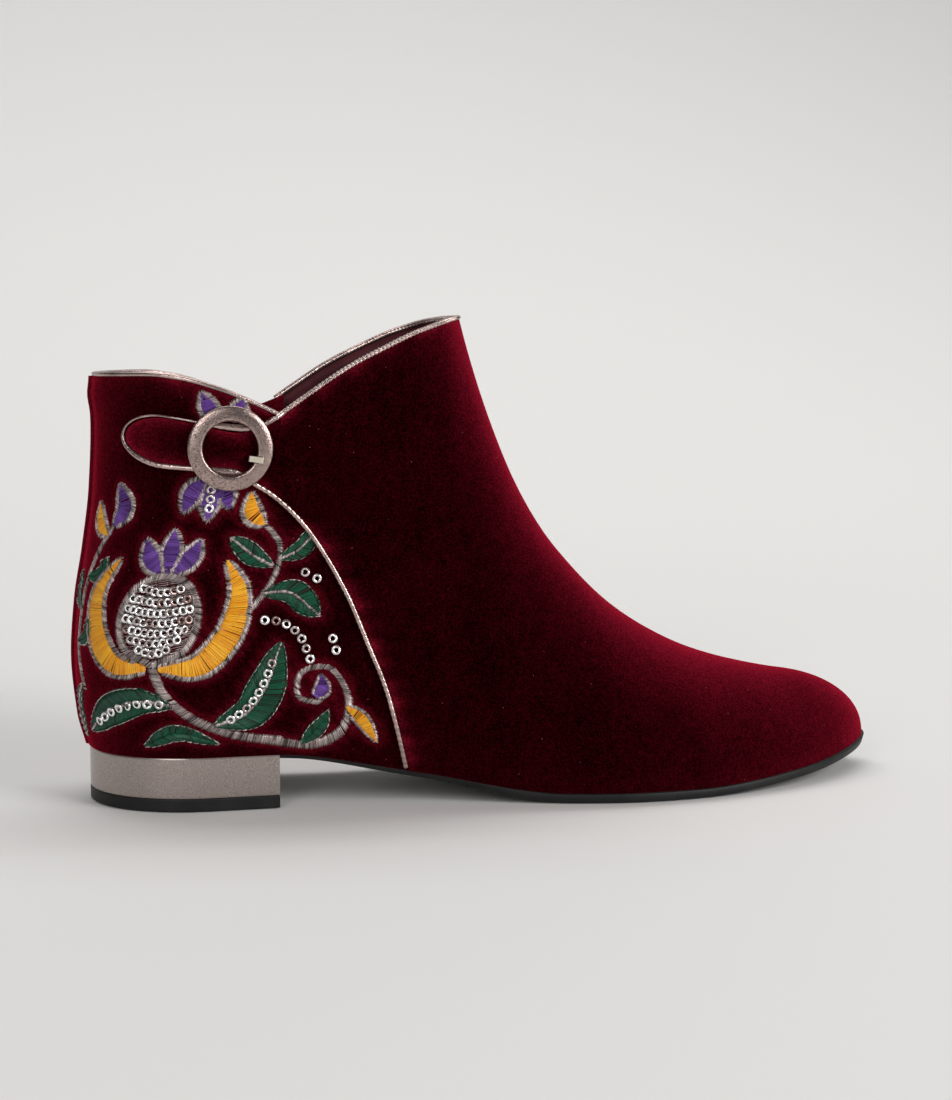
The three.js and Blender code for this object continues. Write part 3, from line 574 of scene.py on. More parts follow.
# Velvet: the pile's colours face on, the painted sheen that the base colour takes where the surface turns
# from the camera or the pile is raised, and the colours of its real sheen and lint.
PILE_DARK, PILE_LIGHT, PILE_SPAN = (0.0024, 0.0001, 0.0002), (0.021, 0.0005, 0.0016), (0.38, 0.64)
PILE_PAINTED_SHEEN, SHEEN, LINT = (0.36, 0.011, 0.034, 1), (0.46, 0.011, 0.03, 1), (0.22, 0.06, 0.07, 1)
BROAD_WEIGHT, SHORT_WEIGHT, FIBRE_WEIGHT = 0.25, 0.3, 0.45
LINT_REACH, FACING_SHEEN_POWER, MARKED_SHEEN_WEIGHT, PILE_BUMP = 0.035, 1.5, 0.75, (0.45, 0.35)
# Soft hollows and swells of the stretched cloth: x, z, reach along and up, turn in degrees, depth.
OUTER_FOLDS = [
    (118, 62, 26, 5, -38, -0.5), (128, 50, 24, 5, -32, 0.35), (98, 100, 8, 26, 8, -0.3),
    (176, 26, 7, 18, 20, -0.35), (188, 24, 6, 16, 24, 0.25), (78, 45, 22, 10, -20, 0.25),
]
QUARTER_FOLDS_FROM = (20, 50)
# Painted sheen of raised pile: reach of the lighter halo beside the seam and under the collar, and how it
# fades along them.
SEAM_HALO, SEAM_HALO_FADE = 1.9, (STRAP_FOOT, STRAP_FOOT - 5)
SEAM_RUN_SCALE = 1.7
PATCH_MEAN, PATCH_SWING, PATCH_WAVES = 0.56, 0.44, (0.43, 0.19)
HALO_LEAST, HALO_MORE = 0.6, 0.4
COLLAR_HALO, COLLAR_LEAST, COLLAR_MORE, COLLAR_FADE = 2.0, 0.4, 0.9, 22
[back_topline], [front_topline] = curves_through(BACK_TOPLINE), curves_through(FRONT_TOPLINE)
[outer_seam], [inner_seam] = curves_through(OUTER_SEAM), curves_through(INNER_SEAM)


def around(angle, h):
    xy = plan_point(angle, h)
    return np.concatenate([xy, (h + feather(xy[..., 0]))[..., None]], axis=-1)


def around_normal(angle, h):
    along = around(angle + TURN_STEP, h) - around(angle - TURN_STEP, h)
    up = around(angle, h + RISE_STEP) - around(angle, np.maximum(h - RISE_STEP, 0))
    normal = np.cross(along, up)
    normal[..., 2] = np.maximum(normal[..., 2], 0)
    return unit(normal)


def slot_opening(z):
    """0 below the zip, 1 along it, rounded at the zip's lower end."""
    return np.sqrt(between(z, ZIP_BOTTOM - SLOT_END_BELOW, ZIP_BOTTOM + SLOT_END_ABOVE))


def edge_angle(side, vamp, h):
    """Angle of a panel's edge at a height: the lapped seam on the outer side, the zip's slot on the inner."""
    seam = outer_seam if side == OUTER else inner_seam
    x = seam(h + feather(HEEL_BREAST))
    for _ in range(SEAM_PASSES):
        x = seam(h + feather(x))
    opening = slot_opening(h + feather(x))
    if side == OUTER:
        x = x + (-VAMP_OVERLAP if vamp else QUARTER_UNDERLAP)
    elif vamp:
        x = x + SLOT_HALF * opening
    else:
        x = x + QUARTER_UNDERLAP * (1 - opening) - SLOT_HALF * opening
    return angle_at(x, h)


def panel_angle(side, vamp, share, h):
    edge = edge_angle(side, vamp, h)
    turn = edge + share * (np.pi - edge) if vamp else share * edge
    return turn if side == OUTER else -turn


def column_top(side, vamp, share, drop):
    """Height at which the columns of one panel meet the topline, less a drop."""
    low, high = (np.full_like(share, h) for h in TOP_RANGE)
    topline = front_topline if vamp else back_topline
    for _ in range(TOP_PASSES):
        h = (low + high) / 2
        point = around(panel_angle(side, vamp, share, h), h)
        above = point[..., 2] - topline(point[..., 0]) + drop > 0
        low, high = np.where(above, low, h), np.where(above, h, high)
    return (low + high) / 2


def panel_grid(groups, rows, drop):
    """Skin points and normals in rows and columns; groups lists (side, vamp, shares) set side by side."""
    angles, heights = [], []
    share_up = np.linspace(0, 1, rows)[:, None] ** ROW_CROWDING
    for side, vamp, share in groups:
        h = PANEL_FOOT + (column_top(side, vamp, share, drop) - PANEL_FOOT)[None, :] * share_up
        angles.append(panel_angle(side, vamp, share[None, :], h))
        heights.append(h)
    angles, heights = np.concatenate(angles, axis=1), np.concatenate(heights, axis=1)
    return around(angles, heights), around_normal(angles, heights)


def slab(name, skin, normals, low, high, material):
    """A closed sheet over rows and columns of skin points, between two heights along their normals."""
    rows, columns = skin.shape[:2]
    count = rows * columns
    faces = grid_faces(rows, columns)
    faces += [tuple(count + v for v in face[::-1]) for face in faces]
    rim = [i * columns for i in range(rows)]
    rim += [(rows - 1) * columns + j for j in range(1, columns)]
    rim += [i * columns + columns - 1 for i in range(rows - 2, -1, -1)]
    rim += list(range(columns - 2, 0, -1))
    faces += [(a, b, count + b, count + a) for a, b in zip(rim, rim[1:] + rim[:1])]
    top, bottom = (skin + np.asarray(height)[..., None] * normals for height in (high, low))
    return shell(name, np.concatenate([top.reshape(-1, 3), bottom.reshape(-1, 3)]), faces, material)


def pile_group():
    """Velvet pile: brushed patches, short fibres and a few specks of lint."""
    group = bpy.data.node_groups.new("velvet_pile", "ShaderNodeTree")
    place = node(group, "ShaderNodeTexCoord").outputs["Object"]
    stretch = node(group, "ShaderNodeMapping", Vector=place, Scale=(1.0, 1.0, 0.75)).outputs[0]
    broad = node(group, "ShaderNodeTexNoise", Vector=stretch, Scale=70.0, Detail=4.0, Roughness=0.6)
    short = node(group, "ShaderNodeTexNoise", Vector=stretch, Scale=420.0, Detail=3.0, Roughness=0.7)
    fibre = node(group, "ShaderNodeTexNoise", Vector=place, Scale=1900.0, Detail=2.0)
    nap = maths(group, "MULTIPLY", fibre.outputs["Fac"], FIBRE_WEIGHT)
    nap = maths(group, "MULTIPLY_ADD", short.outputs["Fac"], SHORT_WEIGHT, nap)
    nap = maths(group, "MULTIPLY_ADD", broad.outputs["Fac"], BROAD_WEIGHT, nap)
    specks = node(group, "ShaderNodeTexVoronoi", {"feature": "F1"}, Vector=place, Scale=240.0)
    lint = maths(group, "LESS_THAN", specks.outputs["Distance"], LINT_REACH)
    give(group, Nap=nap, Fibre=fibre.outputs["Fac"], Lint=lint)
    return group


def blended(tree, factor, first, second, way="MIX"):
    settings = {"data_type": "RGBA", "blend_type": way}
    return node(tree, "ShaderNodeMix", settings, i0=factor, i6=first, i7=second).outputs[2]


def velvet_finish():
    """Velvet: dark face on, with a crimson sheen painted into the base colour where the surface turns from
    the camera and where the pile is marked as raised, uneven with its fibres.
    """
    material, tree, shader = finish("wine_velvet", Roughness=0.95, Specular_IOR_Level=0.0, Sheen_Weight=1.0,
                                    Sheen_Roughness=0.32, Sheen_Tint=SHEEN)
    pile = node(tree, "ShaderNodeGroup", {"node_tree": pile_group()}).outputs
    deep = shade_between(tree, shader, pile["Nap"], PILE_DARK, PILE_LIGHT, PILE_SPAN)
    # Painted sheen: where the surface turns from the camera, and where a piece marks its pile, the base
    # colour is mixed towards a lit crimson.
    slope = node(tree, "ShaderNodeLayerWeight", Blend=0.45)
    facing_sheen = maths(tree, "POWER", slope.outputs["Facing"], FACING_SHEEN_POWER)
    marked_sheen = node(tree, "ShaderNodeAttribute", {"attribute_name": "pressed"})
    turned = maths(tree, "MULTIPLY_ADD", marked_sheen.outputs["Fac"], MARKED_SHEEN_WEIGHT, facing_sheen)
    uneven = maths(tree, "MULTIPLY", turned, pile["Nap"], clamp=True)
    lit = blended(tree, uneven, deep, PILE_PAINTED_SHEEN)
    tuft = node(tree, "ShaderNodeMapRange", Value=pile["Fibre"], From_Min=0.3, From_Max=0.7, To_Min=0.5,
                To_Max=1.55)
    grainy = blended(tree, 1.0, lit, tuft.outputs[0], "MULTIPLY")
    flecked = blended(tree, pile["Lint"], grainy, LINT)
    tree.links.new(flecked, shader.inputs["Base Color"])
    bumped(tree, shader, pile["Fibre"], *PILE_BUMP)
    return material


velvet = velvet_finish()


def shares(count, power=1.0):
    return np.linspace(0, 1, count) ** power


def bulge(distance, middle, width, height=1.0):
    return height * np.exp(-(((distance - middle) / width) ** 2))


def back_seam_relief(points):
    """The seam up the back: the inner quarter's turned edge stands up beside a sunk line of stitching."""
    beside = points[..., 1] - plan_swing(points[..., 0])
    turned = TURNED_HEIGHT * np.sin(np.pi / 2 * np.clip(beside / TURNED_WIDTH, 0, 1))
    turned = turned * between(beside, *TURNED_FADE) ** 2
    swell = bulge(points[..., 2], *SWELL_UP) * bulge(beside, *SWELL_ACROSS)
    relief = turned + swell + bulge(beside, *SEAM_RIDGE) - bulge(beside, *STITCH_GROOVE)
    return between(points[..., 0], *SEAM_FADE) * relief


def fold_relief(points):
    total = np.zeros(points.shape[:-1])
    for x, z, reach_x, reach_z, turn, depth in OUTER_FOLDS:
        c, s = math.cos(math.radians(turn)), math.sin(math.radians(turn))
        u = ((points[..., 0] - x) * c + (points[..., 2] - z) * s) / reach_x
        v = ((points[..., 2] - z) * c - (points[..., 0] - x) * s) / reach_z
        total += depth * np.exp(-u * u - v * v)
    return total


def rolled(distance, reach):
    """1 inside a panel, falling in a quarter round to 0 at its edge."""
    return quarter_round(np.clip(distance / reach, 0, 1))


def roll_under(skin, edge, depth, reach):
    """How far a panel sinks towards its edge, given by the edge's own points."""
    return depth * (1 - rolled(np.linalg.norm(skin - edge, axis=-1), reach))


quarter_shares, vamp_shares = (shares(count, COLUMN_CROWDING) for count in (QUARTER_COLUMNS, VAMP_COLUMNS))
quarter_groups = [(OUTER, False, quarter_shares[::-1]), (INNER, False, quarter_shares[1:])]
quarter_skin, quarter_normals = panel_grid(quarter_groups, QUARTER_ROWS, BINDING_HEIGHT)
quarter_folds = fold_relief(quarter_skin) * between(quarter_skin[..., 0], *QUARTER_FOLDS_FROM)
quarter_relief = back_seam_relief(quarter_skin) + quarter_folds
quarter_relief -= roll_under(quarter_skin, quarter_skin[:, -1:], *QUARTER_ROLL)
quarters = slab("velvet_quarters", quarter_skin, quarter_normals, -LAYER, quarter_relief, velvet)

vamp_groups = [(OUTER, True, vamp_shares), (INNER, True, vamp_shares[-2::-1])]
vamp_skin, vamp_normals = panel_grid(vamp_groups, VAMP_ROWS, FRONT_ROLL)
vamp_lift = LAP + fold_relief(vamp_skin) - roll_under(vamp_skin, vamp_skin[:, :1], *VAMP_SEAM_ROLL)
vamp_lift -= roll_under(vamp_skin, vamp_skin[:, -1:], *VAMP_SLOT_ROLL)
past_lap = between(np.linalg.norm(vamp_skin - vamp_skin[:, :1], axis=-1), *VAMP_DROP)
vamp_under = VAMP_CLEARANCE - (VAMP_CLEARANCE + LAYER) * past_lap
vamp = slab("velvet_vamp", vamp_skin, vamp_normals, vamp_under, vamp_lift, velvet)

front_shares, back_shares = shares(LINING_FRONT_COLUMNS), shares(LINING_BACK_COLUMNS)
lining_groups = [(INNER, True, front_shares), (OUTER, True, front_shares[-2::-1])]
lining_groups.append((OUTER, False, np.linspace(LINING_REACH, 0, LINING_BACK_COLUMNS)))
lining_groups.append((INNER, False, back_shares[1:]))
lining_skin, lining_normals = panel_grid(lining_groups, LINING_ROWS, FRONT_ROLL)
lining = slab("leather_lining", lining_skin, lining_normals, -WALL, -(LAYER + LINING_GAP), plum)


def skin_places(made):
    """A piece's points in millimetres along the last."""
    return np.array([vertex.co for vertex in made.data.vertices]) * 1000 - shift


def sheen_beside_edge(run, reach, distance):
    """How much painted sheen lies beside an edge where the pile is raised, in patches along the run of the
    edge.
    """
    patches = PATCH_MEAN + PATCH_SWING * np.sin(run * PATCH_WAVES[0]) * np.sin(run * PATCH_WAVES[1] + 1)
    return patches * np.exp(-np.maximum(distance, 0) / (reach * (HALO_LEAST + HALO_MORE * patches)))


# Marks on each point of a velvet piece how much painted sheen its base colour takes there.
def paint_pile_sheen(made, amounts):
    made.data.attributes.new("pressed", "FLOAT", "POINT").data.foreach_set("value", amounts)


# Painted sheen on the vamp: lighter halos of pile beside the lapped seam and under the collar.
vamp_x, vamp_y, vamp_z = skin_places(vamp).T
beside_seam = sheen_beside_edge(SEAM_RUN_SCALE * vamp_z, SEAM_HALO, vamp_x - outer_seam(vamp_z))
beside_seam = beside_seam * between(vamp_z, *SEAM_HALO_FADE)
under_collar = sheen_beside_edge(vamp_x, COLLAR_HALO, front_topline(vamp_x) - FRONT_ROLL - vamp_z)
from_notch = np.exp(-np.maximum(vamp_x - NOTCH[0], 0) / COLLAR_FADE)
under_collar = under_collar * (COLLAR_LEAST + COLLAR_MORE * from_notch)
paint_pile_sheen(vamp, np.where(vamp_y < 0, np.maximum(beside_seam, under_collar), under_collar))
for made, slot_name in ((quarters, "velvet"), (vamp, "velvet"), (lining, "lining_leather")):
    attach(made, BODY)
    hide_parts("upper")

# Collar bindings
# A strip of metallic pewter leather is folded over the top edge of velvet and lining, drawn tight and
# stuck, so that it crinkles finely. One runs round the back from notch to zip, the other round the front.
BINDING_SIDE = 1.45
BINDING_GRIP = 0.15
BINDING_PLEAT = 1.3
BACK_STATIONS, BACK_REACH, BACK_PLEAT_DEPTH = 170, 0.95, 0.02
FRONT_STATIONS = 240
FRONT_TRIM = 0.1
# Along the front binding, by station: deep pleats outside and shallow ones inside, and a taller inner side.
FRONT_PLEATS = ((200, 300), (0.2, 0.02))
FRONT_SWELL = ((230, 330), (1, 1.7))
BACK_SEED, FRONT_SEED = 11, 12
PLEAT_DRIFT, DRIFT_STEP = 0.5, 3.0
PLEAT_SHARE, CRINKLE_SHARE = 0.85, 0.15

pewter = grained_finish("pewter_leather", (0.45, 5.0), (0.32, 0.238, 0.217), (0.62, 0.47, 0.432),
                        rough=(0.18, 0.32), bump=(0.35, 0.14), span=(0.3, 0.7), Metallic=0.95, Roughness=0.3)


def run_along(points, power=1.0):
    """Distance run along a line at each of its points, its steps raised to a power."""
    return np.concatenate([[0], np.cumsum(np.linalg.norm(np.diff(points, axis=0), axis=1) ** power)])


def swept(name, places, across, out, section, material, pleat, depth, seed, swell=((1.0, 1.0),)):
    """A closed bar: a section of (across, out) points run through places, drawn into slanting pleats."""
    draw = np.random.default_rng(seed)
    run = run_along(places)
    strays = np.cumsum(draw.normal(0, PLEAT_DRIFT, int(run[-1] / DRIFT_STEP) + 3))
    drift = np.interp(run, np.arange(0, run[-1] + 2 * DRIFT_STEP, DRIFT_STEP), strays)
    turn = np.arctan2(section[:, 1] - section[:, 1].mean(), section[:, 0])
    wave = np.cos(turn[None, :] - (2 * np.pi * run / pleat + drift)[:, None])
    crinkle = PLEAT_SHARE * wave + CRINKLE_SHARE * draw.normal(0, 1, wave.shape)
    size = 1 + np.reshape(depth, (-1, 1)) * crinkle
    middle = section.mean(axis=0)
    bent = middle + (section - middle)[None] * size[..., None] * np.asarray(swell)[:, None]
    rings = places[:, None] + across[:, None] * bent[..., :1] + out[:, None] * bent[..., 1:]
    return shell(name, rings.reshape(-1, 3), barrel_faces(len(places), len(section)), material)


def along_path(points):
    return unit(np.gradient(points, axis=0))


def round_section(half_wide, low, high, sides=14, power=0.75):
    angles = np.linspace(0, 2 * np.pi, sides, endpoint=False) + np.pi / sides
    wide = np.sign(np.cos(angles)) * abs(np.cos(angles)) ** power * half_wide
    tall = np.sign(np.sin(angles)) * abs(np.sin(angles)) ** power * (high - low) / 2 + (high + low) / 2
    return np.column_stack([wide, tall])


def binding(name, columns, half, middle, height, depth, seed, swell=((1.0, 1.0),)):
    """A binding along the tops of the columns, seated on the layers that it holds together."""
    rim, out = [], []
    for side, vamp, share in columns:
        h = column_top(side, vamp, share, height + BINDING_GRIP)
        angle = panel_angle(side, vamp, share, h)
        normal = around_normal(angle, h)
        rim.append(around(angle, h) + middle * normal)
        out.append(normal)
    rim, out = np.concatenate(rim), np.concatenate(out)
    way = along_path(rim)
    out = unit(out - way * np.sum(out * way, axis=1, keepdims=True))
    up = np.cross(way, out)
    up = up * np.sign(up[:, 2:3])
    section = round_section(half, 0.0, height + BINDING_GRIP)
    made = swept(name, rim, out, up, section, pewter, BINDING_PLEAT, depth, seed, swell)
    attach(made, BODY)
    return made


back_columns = [(OUTER, False, np.linspace(BACK_REACH, 0, BACK_STATIONS))]
back_columns.append((INNER, False, shares(BACK_STATIONS)[1:]))
back_binding = binding("back_binding", back_columns, BINDING_SIDE, -WALL / 2, BINDING_HEIGHT,
                       BACK_PLEAT_DEPTH, BACK_SEED)
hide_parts("back_collar_binding")
front_columns = [(OUTER, True, shares(FRONT_STATIONS))]
front_columns.append((INNER, True, np.linspace(1, 0, FRONT_STATIONS)[1:]))
stations = np.arange(2 * FRONT_STATIONS - 1)
front_swell = np.column_stack([np.ones(len(stations)), np.interp(stations, *FRONT_SWELL)])
front_half, front_middle = BINDING_SIDE + LAP / 2 - FRONT_TRIM, (LAP - WALL) / 2
front_binding = binding("front_binding", front_columns, front_half, front_middle, FRONT_ROLL,
                        np.interp(stations, *FRONT_PLEATS), FRONT_SEED, front_swell)
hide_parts("front_collar_binding")

# Strap
# The vamp runs on into a tongue of lined velvet that lies back over the quarter and passes under the ring.
# It swells up inside the ring, and a small hole there lets the prong through.
STRAP_TIP, STRAP_ROOT = 16.6, 64.0
STRAP_TIP_ROUND, TIP_SLOPE = 10.5, 1.4
# Along the strap: x, height of its lower and upper edges.
STRAP_EDGES = [
    (16.6, 106.2, 119.4), (28, 104.6, 118.0), (37, 104.0, 116.3), (44, 103.6, 114.4), (48, 102.9, 113.8),
    (51, 101.0, 114.0), (53, 99.4, 114.7), (57, 96.9, 116.5), (60, 94.3, 117.7), (62, 92.4, 118.6),
    (64, 90.9, 119.5),
]
STRAP_ROWS, STRAP_COLUMNS = 84, 37
STRAP_TOP = 2.05
RING_PLACE = (46.0, 109.4)
PUFF_HEIGHT, PUFF_RADIUS, PUFF_POWER = 1.7, 7.6, 1.5
PRONG_HOLE = (50.3, 106.3)
HOLE_RADIUS, HOLE_DEPTH, HOLE_STRETCH = 1.0, 1.5, 1.3
# Beyond the vamp's seam the strap sinks to the vamp's level and then under its skin.
ROOT_FADE, ROOT_POWER, ROOT_CLEARANCE = (1.2, -7.8), 0.8, 0.03
ROOT_SINK, ROOT_SINK_FADE = 0.3, (-0.4, 1.2)
STRAP_ROLL, STRAP_ROLL_REACH, ROLL_GAIN = 1.3, 4.2, 3
STRAP_FLOOR, FLOOR_RISE, FLOOR_FADE, LEAST_THICKNESS = 0.3, 0.4, (-2, 0), 0.02
# Painted sheen on the strap, lighter pile along its rounded edges and tip: strength and reach from the edge,
# the tip's own, and where it ends at the root.
EDGE_SHEEN, EDGE_SHEEN_REACH = 0.75, 1.5
TIP_SHEEN = (17, 9, 0.35)
STRAP_SHEEN, STRAP_SHEEN_FADE, HOLE_HALO = 0.95, (62, 56), 1.4
strap_low, strap_high = curves_through(STRAP_EDGES)


def strap_middle(x):
    return (strap_low(x) + strap_high(x)) / 2


def strap_half(x):
    return (strap_high(x) - strap_low(x)) / 2


def on_side(side, x, z):
    """A point of one side's skin by its place in the side view."""
    return np.stack([x, plan_swing(x) + side * half_width_at(x, z - feather(x)), z], axis=-1)


def side_normal(side, x, z, span=0.8):
    along = on_side(side, x + span, z) - on_side(side, x - span, z)
    up = on_side(side, x, z + span) - on_side(side, x, z - span)
    return unit(np.cross(along, up) * -side)


def strap_reach(x):
    """Half the strap's width, rounded off at its tip."""
    return strap_half(x) * quarter_round(np.clip((x - STRAP_TIP) / STRAP_TIP_ROUND, 0, 1))


def strap_edge(x, z):
    """Distance from the strap's edge, round its tip too."""
    return np.minimum(strap_reach(x) - abs(z - strap_middle(x)), (x - STRAP_TIP) * TIP_SLOPE)


from_tip = 1 - np.cos(shares(STRAP_ROWS) * np.pi / 2)
along_share, across_share = np.meshgrid(from_tip, np.linspace(-1, 1, STRAP_COLUMNS), indexing="ij")
strap_x = STRAP_TIP + (STRAP_ROOT - STRAP_TIP) * along_share
strap_z = strap_middle(strap_x) + across_share * strap_reach(strap_x)
beyond_seam = strap_x - outer_seam(strap_z)
on_quarter_share = between(beyond_seam, *ROOT_FADE)
edge_fall = STRAP_ROLL * (1 - rolled(strap_edge(strap_x, strap_z), STRAP_ROLL_REACH))
ring_reach = np.clip(np.hypot(strap_x - RING_PLACE[0], strap_z - RING_PLACE[1]) / PUFF_RADIUS, 0, 1)
hole_reach = np.hypot(strap_x - PRONG_HOLE[0], (strap_z - PRONG_HOLE[1]) / HOLE_STRETCH)
strap_lift = LAP + ROOT_CLEARANCE + (STRAP_TOP - LAP) * on_quarter_share**ROOT_POWER
strap_lift = strap_lift - edge_fall * np.clip(on_quarter_share * ROLL_GAIN, 0, 1)
strap_lift = strap_lift - ROOT_SINK * between(beyond_seam, *ROOT_SINK_FADE)
strap_lift = strap_lift + PUFF_HEIGHT * (1 - ring_reach**2) ** PUFF_POWER
strap_lift = strap_lift - bulge(hole_reach, 0, HOLE_RADIUS, HOLE_DEPTH)
strap_floor = STRAP_FLOOR + FLOOR_RISE * between(beyond_seam, *FLOOR_FADE)
strap_floor = np.minimum(strap_floor, strap_lift - LEAST_THICKNESS)
strap_skin, strap_normals = on_side(OUTER, strap_x, strap_z), side_normal(OUTER, strap_x, strap_z)
strap = slab("velvet_strap", strap_skin, strap_normals, strap_floor, strap_lift, velvet)
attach(strap, BODY)
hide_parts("strap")

# Painted sheen along the strap's edges and tip, with less of it round the prong's hole, which paints shade
# there.
pile_x, _, pile_z = skin_places(strap).T
strap_sheen = EDGE_SHEEN * np.exp(-np.maximum(strap_edge(pile_x, pile_z), 0) / EDGE_SHEEN_REACH)
strap_sheen = np.clip(strap_sheen + bulge(pile_x, *TIP_SHEEN), 0, 1)
off_hole = 1 - bulge(np.hypot(pile_x - PRONG_HOLE[0], pile_z - PRONG_HOLE[1]), 0, HOLE_HALO)
paint_pile_sheen(strap, STRAP_SHEEN * strap_sheen * off_hole * between(pile_x, *STRAP_SHEEN_FADE))

# Vamp edge piping
# A narrow rolled edge of the same pewter leather, caught in the seam where the vamp's edge is turned under.
# It runs in one piece from the sole up the seam, along the strap, round its tip and back to the notch.
PIPING_RADIUS = 0.78
PIPING_BASE = 0.25
PIPING_SEAM_STEP = 1.2
PIPING_STEP = 0.7
PIPING_FINE, PIPING_FULL, FINE_FROM = 0.45, 1.15, (-6, 4)
LINE_STEPS, CHORD_POWER = 40, 0.5
PIPING_SPREAD, SPREAD_PLACE = 0.75, (4.5, 4)
PIPING_SEAM_HEIGHTS = [11.8, 24, 38, 49, 64, 76, 84, 89.5]
PIPING_BEND = [(58.6, 95.0), (53.0, 98.7)]
PIPING_LOW_PLACES, PIPING_HIGH_PLACES = (48, 44, 38, 32), (32, 38, 44, 50)
TIP_TURN, TIP_STATIONS = 80, 13
PIPING_END = [(55.5, 116.0), (59.0, 117.75), (62.4, 119.85)]
# Towards its end, by height, it climbs over the back binding and tucks in under the front one.
PIPING_CLIMB, CLIMB_FADE = 0.5, (116.5, 118.5)
PIPING_TUCK, TUCK_FADE = 1.15, (118.4, 119.6)
PIPING_PLEAT = 1.9
PLEAT_DEPTH, PLEAT_EASE = 0.075, 0.05
PIPING_STATIONS, PIPING_SIDES, PIPING_SQUARENESS = 620, 10, 0.95
TONGUE_FADE = (54, 46)
PIPING_SEED = 21


def flowing(points, count):
    """Evenly spaced points on a smooth line through a few given ones."""
    points = np.asarray(points, float)
    chord = run_along(points, CHORD_POWER)
    slope = np.gradient(points, chord, axis=0)
    dense = np.linspace(0, chord[-1], LINE_STEPS * len(points))
    i = np.clip(np.searchsorted(chord, dense, side="right") - 1, 0, len(points) - 2)
    width = (chord[i + 1] - chord[i])[:, None]
    t = ((dense - chord[i]) / (chord[i + 1] - chord[i]))[:, None]
    line = points[i] * (1 + 2 * t) * (1 - t) ** 2 + points[i + 1] * t * t * (3 - 2 * t)
    line = line + width * (slope[i] * t * (1 - t) ** 2 - slope[i + 1] * t * t * (1 - t))
    length = run_along(line)
    even = np.linspace(0, length[-1], count)
    return np.column_stack([np.interp(even, length, line[:, k]) for k in range(line.shape[1])])


piping_rows = [(outer_seam(z) - PIPING_SEAM_STEP, z) for z in PIPING_SEAM_HEIGHTS] + PIPING_BEND
piping_rows += [(x, strap_low(x) - PIPING_STEP) for x in PIPING_LOW_PLACES]
tip_middle = STRAP_TIP + STRAP_TIP_ROUND
for turn in np.radians(np.linspace(-TIP_TURN, TIP_TURN, TIP_STATIONS)):
    x = tip_middle - (STRAP_TIP_ROUND + PIPING_STEP) * math.cos(turn)
    piping_rows.append((x, strap_middle(x) + (strap_half(tip_middle) + PIPING_STEP) * math.sin(turn)))
piping_rows += [(x, strap_high(x) + PIPING_STEP) for x in PIPING_HIGH_PLACES] + PIPING_END
piping_x, piping_z = flowing([(float(x), float(z)) for x, z in piping_rows], PIPING_STATIONS).T
on_tongue = between(piping_x, *TONGUE_FADE)
fullness = np.interp(piping_z - strap_middle(piping_x), FINE_FROM, (PIPING_FULL - 1, PIPING_FINE - 1))
piping_size = 1 + on_tongue * fullness
in_ring = bulge(np.hypot(piping_x - RING_PLACE[0], piping_z - RING_PLACE[1]), *SPREAD_PLACE)
piping_z = piping_z + np.sign(piping_z - RING_PLACE[1]) * in_ring * PIPING_SPREAD
piping_size = np.column_stack([piping_size + in_ring * PIPING_SPREAD / PIPING_RADIUS, piping_size])
piping_out = side_normal(OUTER, piping_x, piping_z)
piping_lift = PIPING_BASE + PIPING_RADIUS + PIPING_CLIMB * between(piping_z, *CLIMB_FADE)
piping_lift = piping_lift - PIPING_TUCK * between(piping_z, *TUCK_FADE)
piping_places = on_side(OUTER, piping_x, piping_z) + piping_out * piping_lift[:, None]
piping_across = unit(np.cross(along_path(piping_places), piping_out))
piping_section = round_section(PIPING_RADIUS, -PIPING_RADIUS, PIPING_RADIUS, PIPING_SIDES,
                               PIPING_SQUARENESS)
piping = swept("vamp_piping", piping_places, piping_across, piping_out, piping_section, pewter,
               PIPING_PLEAT, PLEAT_DEPTH - PLEAT_EASE * on_tongue, PIPING_SEED, piping_size)
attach(piping, BODY)
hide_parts("vamp_edge_piping")

# Buckle
# A flat ring covered in pebbled pewter leather, its band domed over padding and turned under at both edges.
# It lies on the strap, and a short bright nickel prong comes up through the strap and rests on the band.
RING_OUTER, RING_INNER, RING_THICK, RING_LIFT = 12.6, 8.0, 2.5, 2.25
RING_SIDE = 0.7
RING_FALL = 0.43
RING_STATIONS, BAND_STATIONS = 112, 19
RING_LEVEL = np.array([1, 0, -0.14])
BAND_SQUARENESS, DOME_SQUARENESS = 0.7, 0.6
UNDER_ROUND, UNDER_FLAT = 0.15, 0.6
EASE_ANGLE, EASE_SEGMENTS, EASE_WELD = 40, 2, 1e-6
PRONG_EASE = 0.00022

ring_leather = grained_finish("buckle_leather", (0.3, 7.0), (0.16, 0.115, 0.102), (0.66, 0.5, 0.455),
                              rough=(0.19, 0.31), bump=(0.3, 0.12), shaded="Height", span=(0.28, 0.82),
                              Metallic=0.95, Roughness=0.26)

ring_x, ring_z = np.array([RING_PLACE[0]]), np.array([RING_PLACE[1]])
ring_out = side_normal(OUTER, ring_x, ring_z, RING_OUTER)[0]
ring_centre = on_side(OUTER, ring_x, ring_z)[0] + RING_LIFT * ring_out
ring_toe = unit(RING_LEVEL - ring_out * np.dot(RING_LEVEL, ring_out))
ring_down = np.cross(ring_toe, ring_out)
band_middle, band_half = (RING_OUTER + RING_INNER) / 2, (RING_OUTER - RING_INNER) / 2
band = []
for turn in np.radians(np.linspace(0, 180, BAND_STATIONS)):
    c, s = math.cos(turn), math.sin(turn)
    reach = band_middle + band_half * np.sign(c) * abs(c) ** BAND_SQUARENESS
    rise = RING_SIDE + (RING_THICK - RING_SIDE) * s**DOME_SQUARENESS - RING_FALL * (1 + c) * s
    band.append((reach, rise))
band += [(RING_INNER + UNDER_ROUND, UNDER_ROUND), (RING_INNER + UNDER_FLAT, 0)]
